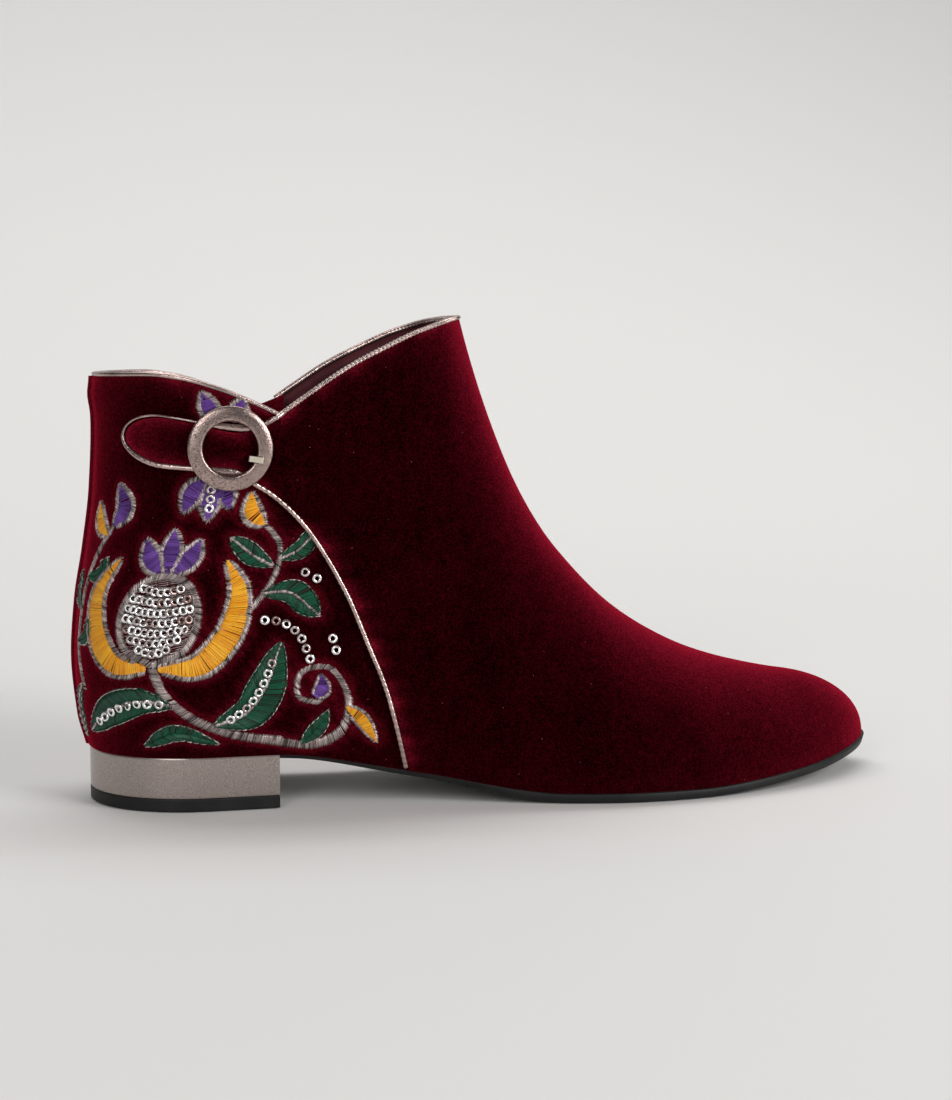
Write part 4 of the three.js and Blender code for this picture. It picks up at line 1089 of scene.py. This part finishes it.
band += [(RING_OUTER - UNDER_FLAT, 0), (RING_OUTER - UNDER_ROUND, UNDER_ROUND)]
ring_points = []
for turn in np.linspace(0, 2 * np.pi, RING_STATIONS, endpoint=False):
    spoke = ring_toe * math.cos(turn) + ring_down * math.sin(turn)
    ring_points.append([ring_centre + spoke * reach + ring_out * rise for reach, rise in band])
ring_points.append(ring_points[0])
buckle = sleeve("buckle_ring", ring_points, ring_leather)
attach(buckle, BODY)
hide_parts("buckle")

nickel = grained_finish("nickel", (0.2, 2.0), (0.74, 0.66, 0.53), (0.92, 0.84, 0.71), rough=(0.1, 0.24),
                        Metallic=1.0, Roughness=0.16)


def eased(name, material, width):
    """A metal piece kept as built, its edges eased."""
    made = frame["nodes"][name]
    made.data.materials.clear()
    made.data.materials.append(material)
    weld = made.modifiers.new("weld", "WELD")
    weld.merge_threshold = EASE_WELD
    bevel = made.modifiers.new("ease", "BEVEL")
    bevel.width = width
    bevel.segments = EASE_SEGMENTS
    bevel.limit_method = "ANGLE"
    bevel.angle_limit = math.radians(EASE_ANGLE)


eased("buckle_prong", nickel, PRONG_EASE)

# Zip
# Black nickel coil sewn on a woven tape that is stitched in behind the slot's edges on the inner side.
# A velvet guard lies inside, behind the tape. The slider stands closed at the top; its pull swings on it.
ZIP_SINK = 1.6
ZIP_TOP = 116.6
TAPE_HALF, TAPE_THICK, TAPE_TAIL = 4.65, 0.7, 1.5
TAPE_ROWS, TAPE_COLUMNS = 60, 9
WEAVE_TURN, WEAVE_SCALE, WEAVE_BUMP = math.radians(14), 500.0, (0.5, 0.12)
COIL_PITCH = 1.15
COIL_FROM, COIL_TO = 1.0, 1.2
COIL_STAGGER, COIL_RAISE, COIL_SLANT = 0.55, 0.15, 0.12
# One element of the coil: length, width, rise of its arch.
COIL_SPAN = np.array([3.2, 0.85, 1.15])
GUARD_BACK, GUARD_FRONT = -3.0, 6.9
GUARD_TOP, GUARD_SLOPE = 120.7, 0.4
GUARD_THICK, GUARD_GAP = 0.8, 0.1
GUARD_ROWS, GUARD_COLUMNS = 50, 13
SLIDER_ROOM, ROOM_FADE = 4.8, (88.0, 106.0)
GUARD_SHEEN = 0.7
SLIDER_EASE, PULL_EASE = 0.00018, 0.0002
THREAD_BEND, THREAD_SIDES, THREAD_STEPS = 4.0, 3, 4

tape_cloth, tape_tree, tape_shader = finish("zip_tape", Roughness=0.9, Specular_IOR_Level=0.2)
weave_place = node(tape_tree, "ShaderNodeTexCoord").outputs["Object"]
weave_turn = node(tape_tree, "ShaderNodeMapping", Vector=weave_place, Rotation=(0, WEAVE_TURN, 0))
weave = node(tape_tree, "ShaderNodeTexWave", {"bands_direction": "Z"}, Vector=weave_turn.outputs[0],
             Scale=WEAVE_SCALE, Distortion=0.6)
shade_between(tape_tree, tape_shader, weave.outputs["Fac"], (0.010, 0.0016, 0.0035), (0.03, 0.006, 0.011))
bumped(tape_tree, tape_shader, weave.outputs["Fac"], *WEAVE_BUMP)


def zip_line(low, high, count):
    """Points up the zip on the skin, with the ways out of the skin and across the zip."""
    z = np.linspace(low, high, count)
    x = inner_seam(z)
    out = side_normal(INNER, x, z)
    places = on_side(INNER, x, z)
    return places, out, unit(np.cross(out, along_path(places)))


tape_places, tape_out, tape_across = zip_line(ZIP_BOTTOM - TAPE_TAIL, ZIP_TOP, TAPE_ROWS)
tape_columns = np.linspace(-TAPE_HALF, TAPE_HALF, TAPE_COLUMNS)
tape_face = tape_places[:, None] + tape_across[:, None] * tape_columns[None, :, None]
tape = slab("zip_tape_cloth", tape_face, tape_out[:, None], -ZIP_SINK, TAPE_THICK - ZIP_SINK, tape_cloth)
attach(tape, BODY)
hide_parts("zip_tape")

guard_across = np.linspace(GUARD_BACK, GUARD_FRONT, GUARD_COLUMNS)
guard_rise, guard_columns = np.meshgrid(shares(GUARD_ROWS), guard_across, indexing="ij")
guard_z = ZIP_BOTTOM + (GUARD_TOP + GUARD_SLOPE * guard_columns - ZIP_BOTTOM) * guard_rise
guard_x = inner_seam(guard_z) + guard_columns
guard_stands = SLIDER_ROOM * np.sin(np.pi / 2 * between(guard_z, *ROOM_FADE)) ** 2
guard_depth = WALL + GUARD_GAP + guard_stands
guard = slab("zip_guard", on_side(INNER, guard_x, guard_z), side_normal(INNER, guard_x, guard_z),
             -(guard_depth + GUARD_THICK), -guard_depth, velvet)
# Painted sheen: the whole guard takes the same lighter pile colour.
paint_pile_sheen(guard, np.full(len(guard.data.vertices), GUARD_SHEEN))
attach(guard, BODY)

gunmetal = grained_finish("black_nickel", (0.2, 3.0), (0.022, 0.021, 0.023), (0.05, 0.048, 0.05),
                          rough=(0.14, 0.3), Metallic=1.0, Roughness=0.2)


def point_cloud(name, places, **attributes):
    """Loose points in the frame that carry a row of values each, for a geometry tree to dress."""
    mesh = bpy.data.meshes.new(name)
    mesh.from_pydata(places.tolist(), [], [])
    for key, values in attributes.items():
        values = np.asarray(values, float)
        kind, slot_name = ("FLOAT_VECTOR", "vector") if values.ndim == 2 else ("FLOAT", "value")
        mesh.attributes.new(key, kind, "POINT").data.foreach_set(slot_name, values.ravel())
    made = bpy.data.objects.new(name, mesh)
    bpy.context.scene.collection.objects.link(made)
    return made


def attribute(tree, name):
    settings = {"data_type": "FLOAT_VECTOR"}
    return node(tree, "GeometryNodeInputNamedAttribute", settings, Name=name).outputs["Attribute"]


def placed_on_points(tree, points, instance):
    """Instances turned so that X follows the attribute way and Z the attribute out, stretched by span."""
    first = node(tree, "FunctionNodeAlignRotationToVector", {"axis": "X"}, Vector=attribute(tree, "way"))
    second = node(tree, "FunctionNodeAlignRotationToVector", {"axis": "Z", "pivot_axis": "X"},
                  Rotation=first.outputs[0], Vector=attribute(tree, "out"))
    cloud = node(tree, "GeometryNodeMeshToPoints", Mesh=points)
    return node(tree, "GeometryNodeInstanceOnPoints", Points=cloud.outputs[0], Instance=instance,
                Rotation=second.outputs[0], Scale=attribute(tree, "span")).outputs[0]


def dressing_tree(name, finish_input, make_body):
    """A geometry tree that sets one body on every point and gives it the finish of its named input."""
    tree = bpy.data.node_groups.new(name, "GeometryNodeTree")
    tree.interface.new_socket("Geometry", in_out="INPUT", socket_type="NodeSocketGeometry")
    tree.interface.new_socket(finish_input, in_out="INPUT", socket_type="NodeSocketMaterial")
    tree.interface.new_socket("Geometry", in_out="OUTPUT", socket_type="NodeSocketGeometry")
    start = node(tree, "NodeGroupInput").outputs
    placed = placed_on_points(tree, start["Geometry"], make_body(tree))
    whole = node(tree, "GeometryNodeRealizeInstances", Geometry=placed)
    soft = node(tree, "GeometryNodeSetShadeSmooth", Geometry=whole.outputs[0])
    dressed = node(tree, "GeometryNodeSetMaterial", Geometry=soft.outputs[0], Material=start[finish_input])
    node(tree, "NodeGroupOutput", Geometry=dressed.outputs[0])
    return tree


def arched_thread(tree):
    """A thread one unit long and wide that rises one unit in the middle, as a closed tube."""
    rod = node(tree, "GeometryNodeMeshCylinder", Vertices=THREAD_SIDES, Side_Segments=THREAD_STEPS,
               Radius=0.5, Depth=1.0)
    laid = node(tree, "GeometryNodeTransform", Geometry=rod.outputs["Mesh"], Rotation=(0, math.pi / 2, 0))
    place = node(tree, "GeometryNodeInputPosition").outputs[0]
    from_middle = node(tree, "ShaderNodeSeparateXYZ", Vector=place).outputs["X"]
    share = maths(tree, "ABSOLUTE", maths(tree, "MULTIPLY", from_middle, 2.0))
    rise = maths(tree, "SUBTRACT", 1.0, maths(tree, "POWER", share, THREAD_BEND))
    lift = node(tree, "ShaderNodeCombineXYZ", Z=rise)
    bent = node(tree, "GeometryNodeSetPosition", Geometry=laid.outputs[0], Offset=lift.outputs[0])
    return bent.outputs[0]


def settled(made, tree, **inputs):
    """Runs a geometry tree on a piece with the named inputs and keeps the result as a plain mesh."""
    modifier = made.modifiers.new(tree.name, "NODES")
    modifier.node_group = tree
    for item in tree.interface.items_tree:
        if item.item_type == "SOCKET" and item.in_out == "INPUT" and item.name in inputs:
            modifier[item.identifier] = inputs[item.name]
    graph = bpy.context.evaluated_depsgraph_get()
    mesh = bpy.data.meshes.new_from_object(made.evaluated_get(graph))
    made.modifiers.clear()
    made.data = mesh
    mesh.name = made.name


THREAD_TREE = dressing_tree("laid_threads", "Thread", arched_thread)

coil_count = int((ZIP_TOP - ZIP_BOTTOM) / COIL_PITCH)
coil_places, coil_out, coil_across = zip_line(ZIP_BOTTOM + COIL_FROM, ZIP_TOP - COIL_TO, coil_count)
coil_lean = np.where(np.arange(coil_count) % 2 == 0, 1.0, -1.0)[:, None]
coil_places = coil_places + coil_across * coil_lean * COIL_STAGGER
coil_places = coil_places - coil_out * (ZIP_SINK - TAPE_THICK - COIL_RAISE)
coil_way = coil_across + COIL_SLANT * along_path(coil_places)
coil = point_cloud("zip_coil_teeth", in_frame(coil_places), way=coil_way, out=coil_out,
                   span=np.tile(COIL_SPAN / 1000, (coil_count, 1)))
settled(coil, THREAD_TREE, Thread=gunmetal)
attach(coil, BODY)
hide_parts("zip_coil")
eased("zip_slider", gunmetal, SLIDER_EASE)
eased("zip_pull", gunmetal, PULL_EASE)

# Embroidery
# Satin stitch in rayon and metallic thread, worked on the velvet before the quarters are cut: a flower with
# sepals, leaves, buds and curling stems, laid out by distance from the back seam and by height.
SIDE_NAMES = {OUTER: "outer", INNER: "inner"}
BOTH, OUTSIDE = (OUTER, INNER), (OUTER,)
THREAD_PITCH = 0.26
THREAD_WIDTH = 0.31
THREAD_TAIL = 0.25
END_FRAY, END_WOBBLE = 0.16, 0.06
THREAD_GAPS = {"pewter": 0.03, "marigold": 0.012, "emerald": 0.05, "violet": 0.03}
# How far each kind of stitch stands off the cloth, and the share of it that a thread's arch takes.
SEED_LOFT, STEM_LOFT, RIM_LOFT, LEAF_LOFT, PETAL_LOFT, TOP_LOFT = 0.3, 0.34, 0.42, 0.42, 0.5, 0.75
LOFT_SHARE, LOFT_BASE = 0.72, 0.02
STEM_SLANT, LEAF_SLANT, MIDRIB_OVERLAP = 0.22, 0.7, 0.1
# Fullness of a petal or leaf and how far its widest place is moved, and the points kept of its rim.
PETAL_SHAPE, LEAF_SHAPE, BLADE_ENDS = (0.8, 0.9), (0.75, 0.85), (0.02, 0.995)
PETAL_RIM_POINTS, LEAF_RIM_POINTS = 26, 16
LENGTH_POINTS = 60
DASH_PITCH, DASH_LENGTH = 1.75, 1.35
VEIN_WIDTH, VEIN_TAPER = 0.8, 0.5
STREAK_LENGTH, STREAK_WEIGHT, STREAK_TONE, THREAD_TONE = 4, 0.5, 0.18, 0.2
ARC_REACH, ARC_TOP, ARC_RISE, ARC_STEP, ARC_POINTS = 130.0, 121.0, 3.0, 1.0, 500
LAST_CELL = 1.001
OUT_STEP = 0.6
TWIST_SCALE, TWIST_BUMP = 5200.0, (0.3, 0.08)
arc_levels = np.arange(0.0, ARC_TOP, ARC_RISE)
arc_steps = np.arange(0.0, ARC_REACH, ARC_STEP)
arc_x = []
for h_level in arc_levels:
    run = back_x(h_level) + (ARC_REACH - back_x(h_level)) * shares(ARC_POINTS, 2)
    side_out = half_width_at(run, np.full_like(run, h_level))
    arc_x.append(np.interp(arc_steps, run_along(np.column_stack([run, side_out])), run))
arc_x = np.array(arc_x)


def x_along(s, h):
    """x of the place that lies a distance s round the skin from the back seam, at height h."""
    u = np.clip(h / ARC_RISE, 0, len(arc_levels) - LAST_CELL)
    v = np.clip(s / ARC_STEP, 0, len(arc_steps) - LAST_CELL)
    i, j = u.astype(int), v.astype(int)
    f, g = u - i, v - j
    return ((arc_x[i, j] * (1 - g) + arc_x[i, j + 1] * g) * (1 - f)
            + (arc_x[i + 1, j] * (1 - g) + arc_x[i + 1, j + 1] * g) * f)


def on_quarter(side, plane):
    """Skin points of the quarter from (distance from the back seam, height) pairs."""
    s, z = plane[:, 0], plane[:, 1]
    x = x_along(s, z - HEEL_HEIGHT)
    x = x_along(s, z - feather(x))
    return on_side(side, x, z)


def quarter_out(side, plane):
    back = np.maximum(plane - (OUT_STEP, 0), (0, 0))
    across = on_quarter(side, plane + (OUT_STEP, 0)) - on_quarter(side, back)
    up = on_quarter(side, plane + (0, OUT_STEP)) - on_quarter(side, plane - (0, OUT_STEP))
    return unit(np.cross(across, up) * -side)


def thread_finish(name, dark, light, metallic, roughness):
    material, tree, shader = finish(name, Metallic=metallic, Roughness=roughness, Specular_IOR_Level=0.35)
    tone = node(tree, "ShaderNodeAttribute", {"attribute_name": "tone"})
    shade_between(tree, shader, tone.outputs["Fac"], dark, light, (0, 1))
    place = node(tree, "ShaderNodeTexCoord").outputs["Object"]
    twist = node(tree, "ShaderNodeTexNoise", Vector=place, Scale=TWIST_SCALE, Detail=1.0)
    bumped(tree, shader, twist.outputs["Fac"], *TWIST_BUMP)
    return material


THREADS = {
    "pewter": thread_finish("pewter_thread", (0.064, 0.047, 0.045), (0.76, 0.64, 0.61), 0.75, 0.3),
    "marigold": thread_finish("marigold_thread", (0.8, 0.27, 0.004), (1.0, 0.5, 0.025), 0.0, 0.4),
    "emerald": thread_finish("emerald_thread", (0.0008, 0.024, 0.011), (0.002, 0.095, 0.045), 0.0, 0.4),
    "violet": thread_finish("violet_thread", (0.055, 0.014, 0.14), (0.19, 0.07, 0.40), 0.0, 0.4),
}
draw = np.random.default_rng(7)
work = {}
sequins = {OUTER: [], INNER: []}


def lay(sides, colour, start, stop, loft):
    """Adds threads from start to stop points on the quarter's plane, a few left out, their ends uneven."""
    for side in sides:
        kept = draw.uniform(0, 1, len(start)) > THREAD_GAPS[colour]
        a, b = start[kept], stop[kept]
        wobble = draw.normal(0, END_WOBBLE, (2, len(a), 2))
        fray = unit(b - a) * abs(draw.normal(0, END_FRAY, (2, len(a), 1)))
        threads = (a + wobble[0] - fray[0], b + wobble[1] + fray[1], np.full(len(a), loft))
        work.setdefault((side, colour), []).append(threads)


def normals_2d(line):
    way = along_path(line)
    return np.column_stack([-way[:, 1], way[:, 0]])


def line_length(points):
    return run_along(flowing(points, LENGTH_POINTS))[-1]


def cord_line(sides, colour, points, width, taper=0.0, loft=STEM_LOFT):
    """A stem or outline in close satin stitch across a line, thinner towards its end by the taper."""
    count = int(line_length(points) / THREAD_PITCH)
    line = flowing(points, count)
    half = width / 2 * (1 - taper * shares(count))[:, None]
    slant = along_path(line) * width * STEM_SLANT
    lay(sides, colour, line - normals_2d(line) * half - slant, line + normals_2d(line) * half + slant, loft)


def blade(points, width, fullness, skew):
    """Spine of a leaf or petal with its half width along it."""
    count = int(line_length(points) / THREAD_PITCH)
    share = np.linspace(*BLADE_ENDS, count)
    return flowing(points, count), width / 2 * np.sin(np.pi * share**skew) ** fullness


def petal(sides, colour, points, width, edge_width=1.5):
    """Satin stitch from edge to edge, with a raised outline."""
    spine, half = blade(points, width, *PETAL_SHAPE)
    across = normals_2d(spine) * half[:, None]
    lay(sides, colour, spine - across, spine + across, PETAL_LOFT)
    rim = np.concatenate([spine + across, (spine - across)[::-1]])
    cord_line(sides, "pewter", rim[:: max(1, len(rim) // PETAL_RIM_POINTS)], edge_width, loft=RIM_LOFT)


def petal_fan(root, bend, tips, width):
    """Violet petals spread from one root, each by its tip; root and bend give place, height and spread."""
    for tip_s, tip_z in tips:
        aside = tip_s - root[0]
        spine = [(s + aside * spread, z) for s, z, spread in (root, bend)]
        petal(BOTH, "violet", spine + [(tip_s, tip_z)], width)


def leaf(sides, points, width, vein=True):
    """Two halves of slanted satin stitch that meet at a midrib, outlined with dashes."""
    spine, half = blade(points, width, *LEAF_SHAPE)
    normal = normals_2d(spine)
    lean = along_path(spine) * half[:, None] * LEAF_SLANT
    rims = [spine + turn * normal * half[:, None] + lean for turn in (1, -1)]
    for turn, rim in zip((1, -1), rims):
        lay(sides, "emerald", spine - turn * normal * MIDRIB_OVERLAP, rim, LEAF_LOFT)
    for rim in rims:
        running(sides, "pewter", rim[:: max(1, len(rim) // LEAF_RIM_POINTS)])
    if vein:
        cord_line(sides, "pewter", points, VEIN_WIDTH, VEIN_TAPER, TOP_LOFT)


def running(sides, colour, points):
    """Running stitch: short dashes along a line."""
    line = flowing(points, max(2, int(line_length(points) / DASH_PITCH)))
    way = along_path(line) * DASH_LENGTH / 2
    lay(sides, colour, line - way, line + way, TOP_LOFT)


def sequin_row(sides, points, pitch):
    count = max(2, int(round(line_length(points) / pitch)) + 1)
    for side in sides:
        sequins[side].append(flowing(points, count))


# Flower: a seed head of sequins between two curled sepals, under a crown of three small petals.
FLOWER_S, SEED_MIDDLE = 40, 58.4
SEED_WIDE, SEED_TALL = 11.2, 13.2
SEED_ROWS = np.arange(47.4, 70.2, 0.62)
SEED_STAGGER, SEED_PITCH, SEED_LENGTH, SEED_SLOPE = 2.4, 3.4, 3.2, 0.5
SEED_OUTLINE = [
    (40, 45), (30.5, 50), (28, 59), (32, 68), (40, 71.5), (48, 68), (52, 59), (49.5, 50), (40, 45),
]
# Sequins on the seed head: height of the row, half its length; the row's ends lie higher than its middle.
SEED_SEQUINS = [(49, 4), (52, 7), (55, 8.8), (58, 9.4), (61, 9.2), (64, 8), (67, 5.4)]
SEED_SEQUIN_PITCH, ROW_ENDS, ROW_MIDDLE = 1.9, 0.8, -0.4
cord_line(BOTH, "pewter", SEED_OUTLINE, 2.2)
petal(BOTH, "marigold", [(38, 44), (27, 45), (19, 54), (18, 66), (24, 76)], 8.5)
petal(BOTH, "marigold", [(42, 44), (54, 45), (62, 54), (63, 66), (57, 76)], 8.5)
petal_fan((FLOWER_S, 72.5, 0.3), (FLOWER_S, 77, 0.75), ((32, 82), (40, 85), (48, 82)), 6.2)
for row in SEED_ROWS:
    reach = SEED_WIDE * math.sqrt(max(0.0, 1 - ((row - SEED_MIDDLE) / SEED_TALL) ** 2))
    starts = np.arange(-reach + draw.uniform(0, SEED_STAGGER), reach, SEED_PITCH)
    stops = np.minimum(starts + SEED_LENGTH, reach)
    ends = level(FLOWER_S + starts, row), level(FLOWER_S + stops, row + SEED_SLOPE)
    lay(BOTH, "pewter", *ends, SEED_LOFT)
for row, reach in SEED_SEQUINS:
    high, low = row + ROW_ENDS, row + ROW_MIDDLE
    sequin_row(BOTH, [(FLOWER_S - reach, high), (FLOWER_S, low), (FLOWER_S + reach, high)], SEED_SEQUIN_PITCH)

# Stem with its leaves, and a curl towards the front with a bud in it.
FRONT_CURL = [(70, 21.2), (83, 19.5), (94, 24), (98, 34), (93, 43), (84.5, 42), (83, 34.5), (89, 32.5)]
cord_line(BOTH, "pewter", [(40, 44), (43, 36), (51, 28), (62, 23), (74, 21)], 2.6)
leaf(BOTH, [(45, 33), (36, 34), (25, 31), (13, 23.5)], 9.5)
sequin_row(BOTH, [(41, 33.6), (34, 33.4), (26, 31), (19, 27)], 3.4)
leaf(BOTH, [(56, 26.5), (66, 30), (74, 39), (78, 51)], 11)
sequin_row(BOTH, [(61, 28.4), (67, 32), (72.5, 38.5), (75.5, 45)], 3.4)
cord_line(OUTSIDE, "pewter", FRONT_CURL, 2.6, 0.45)
petal(OUTSIDE, "violet", [(87.6, 34.6), (90.4, 37), (90.2, 41)], 4.6, edge_width=0.8)
leaf(OUTSIDE, [(80, 20), (88, 26), (91, 30)], 4.2, vein=False)
petal(OUTSIDE, "marigold", [(97, 31), (101, 27), (104, 20)], 4.6, edge_width=0.9)
leaf(BOTH, [(33, 20.5), (44, 24.5), (55, 21)], 5.0, vein=False)

# Branch from the sepal up towards the strap, with paired leaves and a bud.
cord_line(BOTH, "pewter", [(59, 55), (67, 61), (72, 70), (72, 80), (66, 87)], 2.0, 0.4)
leaf(OUTSIDE, [(70, 66), (78, 66), (88, 59)], 7.5)
leaf(BOTH, [(71, 74), (65, 77), (57, 82.5)], 6.0)
leaf(OUTSIDE, [(72.4, 76), (78, 79), (82, 85)], 6.0)
petal(BOTH, "marigold", [(66, 86.5), (62, 90), (61, 96)], 5.4)
sequin_row(OUTSIDE, [(72, 58), (78, 57), (84, 52), (87, 46)], 3.6)
for single in ((81, 72), (85, 70), (93, 52), (94.5, 48.5)):
    sequins[OUTER].append(np.array([single], float))

# Fan of three drops that hangs from under the strap, and two more above it.
FAN_S = 49
petal_fan((FAN_S, 100, 0.3), (FAN_S, 96, 0.7), ((41.5, 90.5), (49, 88), (55, 91.5)), 6.4)
sequin_row(BOTH, [(FAN_S, 97), (FAN_S, 91.5)], 2.8)
for base_s, tip_s, tip_z in ((50, 46, 125.5), (56, 58, 123.5)):
    petal(OUTSIDE, "violet", [(base_s, 117), ((base_s + tip_s) / 2, 121), (tip_s, tip_z)], 5.4)

# Sprig beside the back seam.
cord_line(BOTH, "pewter", [(12, 36), (8.5, 48), (9, 62), (13, 76), (20, 87)], 1.8, 0.3)
leaf(BOTH, [(8.8, 50), (13.5, 52), (15, 58)], 4.6, vein=False)
leaf(BOTH, [(9, 60), (5, 64), (5.4, 71)], 4.6, vein=False)
leaf(BOTH, [(11, 70), (16, 71), (19, 76)], 4.6, vein=False)
petal(BOTH, "violet", [(19.5, 86), (22.5, 91), (20, 98)], 6.0)
petal(BOTH, "marigold", [(17, 83), (13, 86), (11.5, 92)], 5.0)
leaf(BOTH, [(10.5, 37), (6, 31), (7, 21)], 6.0)

stitch_marks = []
for (side, colour), rows in work.items():
    start, stop, loft = (np.concatenate([row[k] for row in rows]) for k in range(3))
    middle = (start + stop) / 2
    a, b, m = on_quarter(side, start), on_quarter(side, stop), on_quarter(side, middle)
    out = quarter_out(side, middle)
    centre = (a + b) / 2
    rise = np.maximum(np.sum((m - centre) * out, axis=1), 0) + loft
    length = np.linalg.norm(b - a, axis=1)
    width = np.full(len(length), THREAD_WIDTH)
    span = np.column_stack([length + THREAD_TAIL, width, rise * LOFT_SHARE]) / 1000
    stitch_marks += [in_frame(a), in_frame(b), in_frame(m)]
    streaks = np.convolve(draw.normal(0, 1, len(length)), np.full(STREAK_LENGTH, STREAK_WEIGHT), "same")
    tone = np.clip(0.5 + STREAK_TONE * streaks + draw.normal(0, THREAD_TONE, len(length)), 0, 1)
    threads = point_cloud(f"embroidery_{colour}_{SIDE_NAMES[side]}", in_frame(centre + out * LOFT_BASE),
                          way=unit(b - a), out=out, span=span, tone=tone)
    settled(threads, THREAD_TREE, Thread=THREADS[colour])
    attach(threads, BODY)

# Pile beside the stitches stands up, and its catching the light is painted as sheen into the base colour;
# each point of the quarters keeps how near it is.
STITCH_SHEEN_REACH, STITCH_SHEEN = 0.0013, 0.42
BINDING_SHEEN, BINDING_HALO = 0.8, 2.2
BACK_SHEEN_FADE = (14, 10)
BACK_SHEEN_OUTER, BACK_SHEEN_INNER = (-2.9, 1.7, 0.6), (1.3, 1.3, 0.5)
marks = np.concatenate(stitch_marks)
nearest = KDTree(len(marks))
for number, mark in enumerate(marks):
    nearest.insert(mark, number)
nearest.balance()
away = np.array([nearest.find(vertex.co)[2] for vertex in quarters.data.vertices])
# Painted sheen also lies in a halo under the collar binding and in bands on the strip and ridge of the back
# seam.
back_place_x, back_place_y, back_place_z = skin_places(quarters).T
under_binding = back_topline(back_place_x) - BINDING_HEIGHT - back_place_z
by_binding = BINDING_SHEEN * sheen_beside_edge(back_place_x + back_place_y, BINDING_HALO, under_binding)
beside = back_place_y - plan_swing(back_place_x)
by_seam = bulge(beside, *BACK_SHEEN_OUTER) + bulge(beside, *BACK_SHEEN_INNER)
by_seam = between(back_place_x, *BACK_SHEEN_FADE) * by_seam
paint_pile_sheen(quarters, np.maximum(bulge(away, 0, STITCH_SHEEN_REACH, STITCH_SHEEN), by_binding) + by_seam)

# Sequins
# Cupped silver rings of metallised film, three millimetres across, each sewn down through its hole. They lie
# a little tilted, and lap one another in the seed head, so that each catches the light its own way.
SEQUIN_RADIUS = 1.5
SEQUIN_HOLE = 0.7
SEQUIN_SIDES, FILM_THICK, SEQUIN_CUP = 14, 0.09, 0.13
SEQUIN_TILT = 0.15
SEQUIN_LAP = 0.3
LAP_PITCH = 1.9
SEQUIN_LOFT = (0.75, 1.05)
WAY_STEP = 0.3
FILM_SPAN = (0.1, 0.55)


def cupped_ring(tree):
    """A ring of film one unit in radius, its flat strip turned a little so that the ring is cupped."""
    hole = SEQUIN_HOLE / SEQUIN_RADIUS
    line = node(tree, "GeometryNodeCurvePrimitiveCircle", Resolution=SEQUIN_SIDES, Radius=(1 + hole) / 2)
    strip = node(tree, "GeometryNodeCurvePrimitiveQuadrilateral", Width=1 - hole, Height=FILM_THICK)
    tilted = node(tree, "GeometryNodeTransform", Geometry=strip.outputs[0], Rotation=(0, 0, SEQUIN_CUP))
    ring = node(tree, "GeometryNodeCurveToMesh", Curve=line.outputs[0], Profile_Curve=tilted.outputs[0])
    return ring.outputs[0]


SEQUIN_TREE = dressing_tree("sewn_sequins", "Film", cupped_ring)
film, film_tree, film_shader = finish("sequin_film", Metallic=0.9, Roughness=0.16, Coat_Weight=0.5,
                                      Coat_Roughness=0.06)
film_tone = node(film_tree, "ShaderNodeAttribute", {"attribute_name": "tone"})
shade_between(film_tree, film_shader, film_tone.outputs["Fac"], (0.3, 0.2, 0.18), (0.95, 0.94, 0.93),
              FILM_SPAN)

for side, groups in sequins.items():
    plane = np.concatenate(groups)
    out = quarter_out(side, plane)
    ways = [np.gradient(row, axis=0) if len(row) > 1 else np.zeros((1, 2)) for row in groups]
    row_way = np.concatenate(ways)
    onward = on_quarter(side, plane + WAY_STEP * unit(row_way)) - on_quarter(side, plane)
    pitch = np.linalg.norm(row_way, axis=1, keepdims=True)
    lap = SEQUIN_LAP * between(pitch, 2 * SEQUIN_RADIUS, LAP_PITCH)
    face = unit(out + lap * unit(onward) + draw.normal(0, SEQUIN_TILT, out.shape))
    way = unit(np.cross(face, draw.normal(0, 1, out.shape)))
    places = on_quarter(side, plane) + out * draw.uniform(*SEQUIN_LOFT, (len(plane), 1))
    span = np.full((len(plane), 3), SEQUIN_RADIUS / 1000)
    spangles = point_cloud(f"sequins_{SIDE_NAMES[side]}", in_frame(places), way=way, out=face, span=span,
                           tone=draw.uniform(0, 1, len(plane)))
    settled(spangles, SEQUIN_TREE, Film=film)
    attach(spangles, BODY)
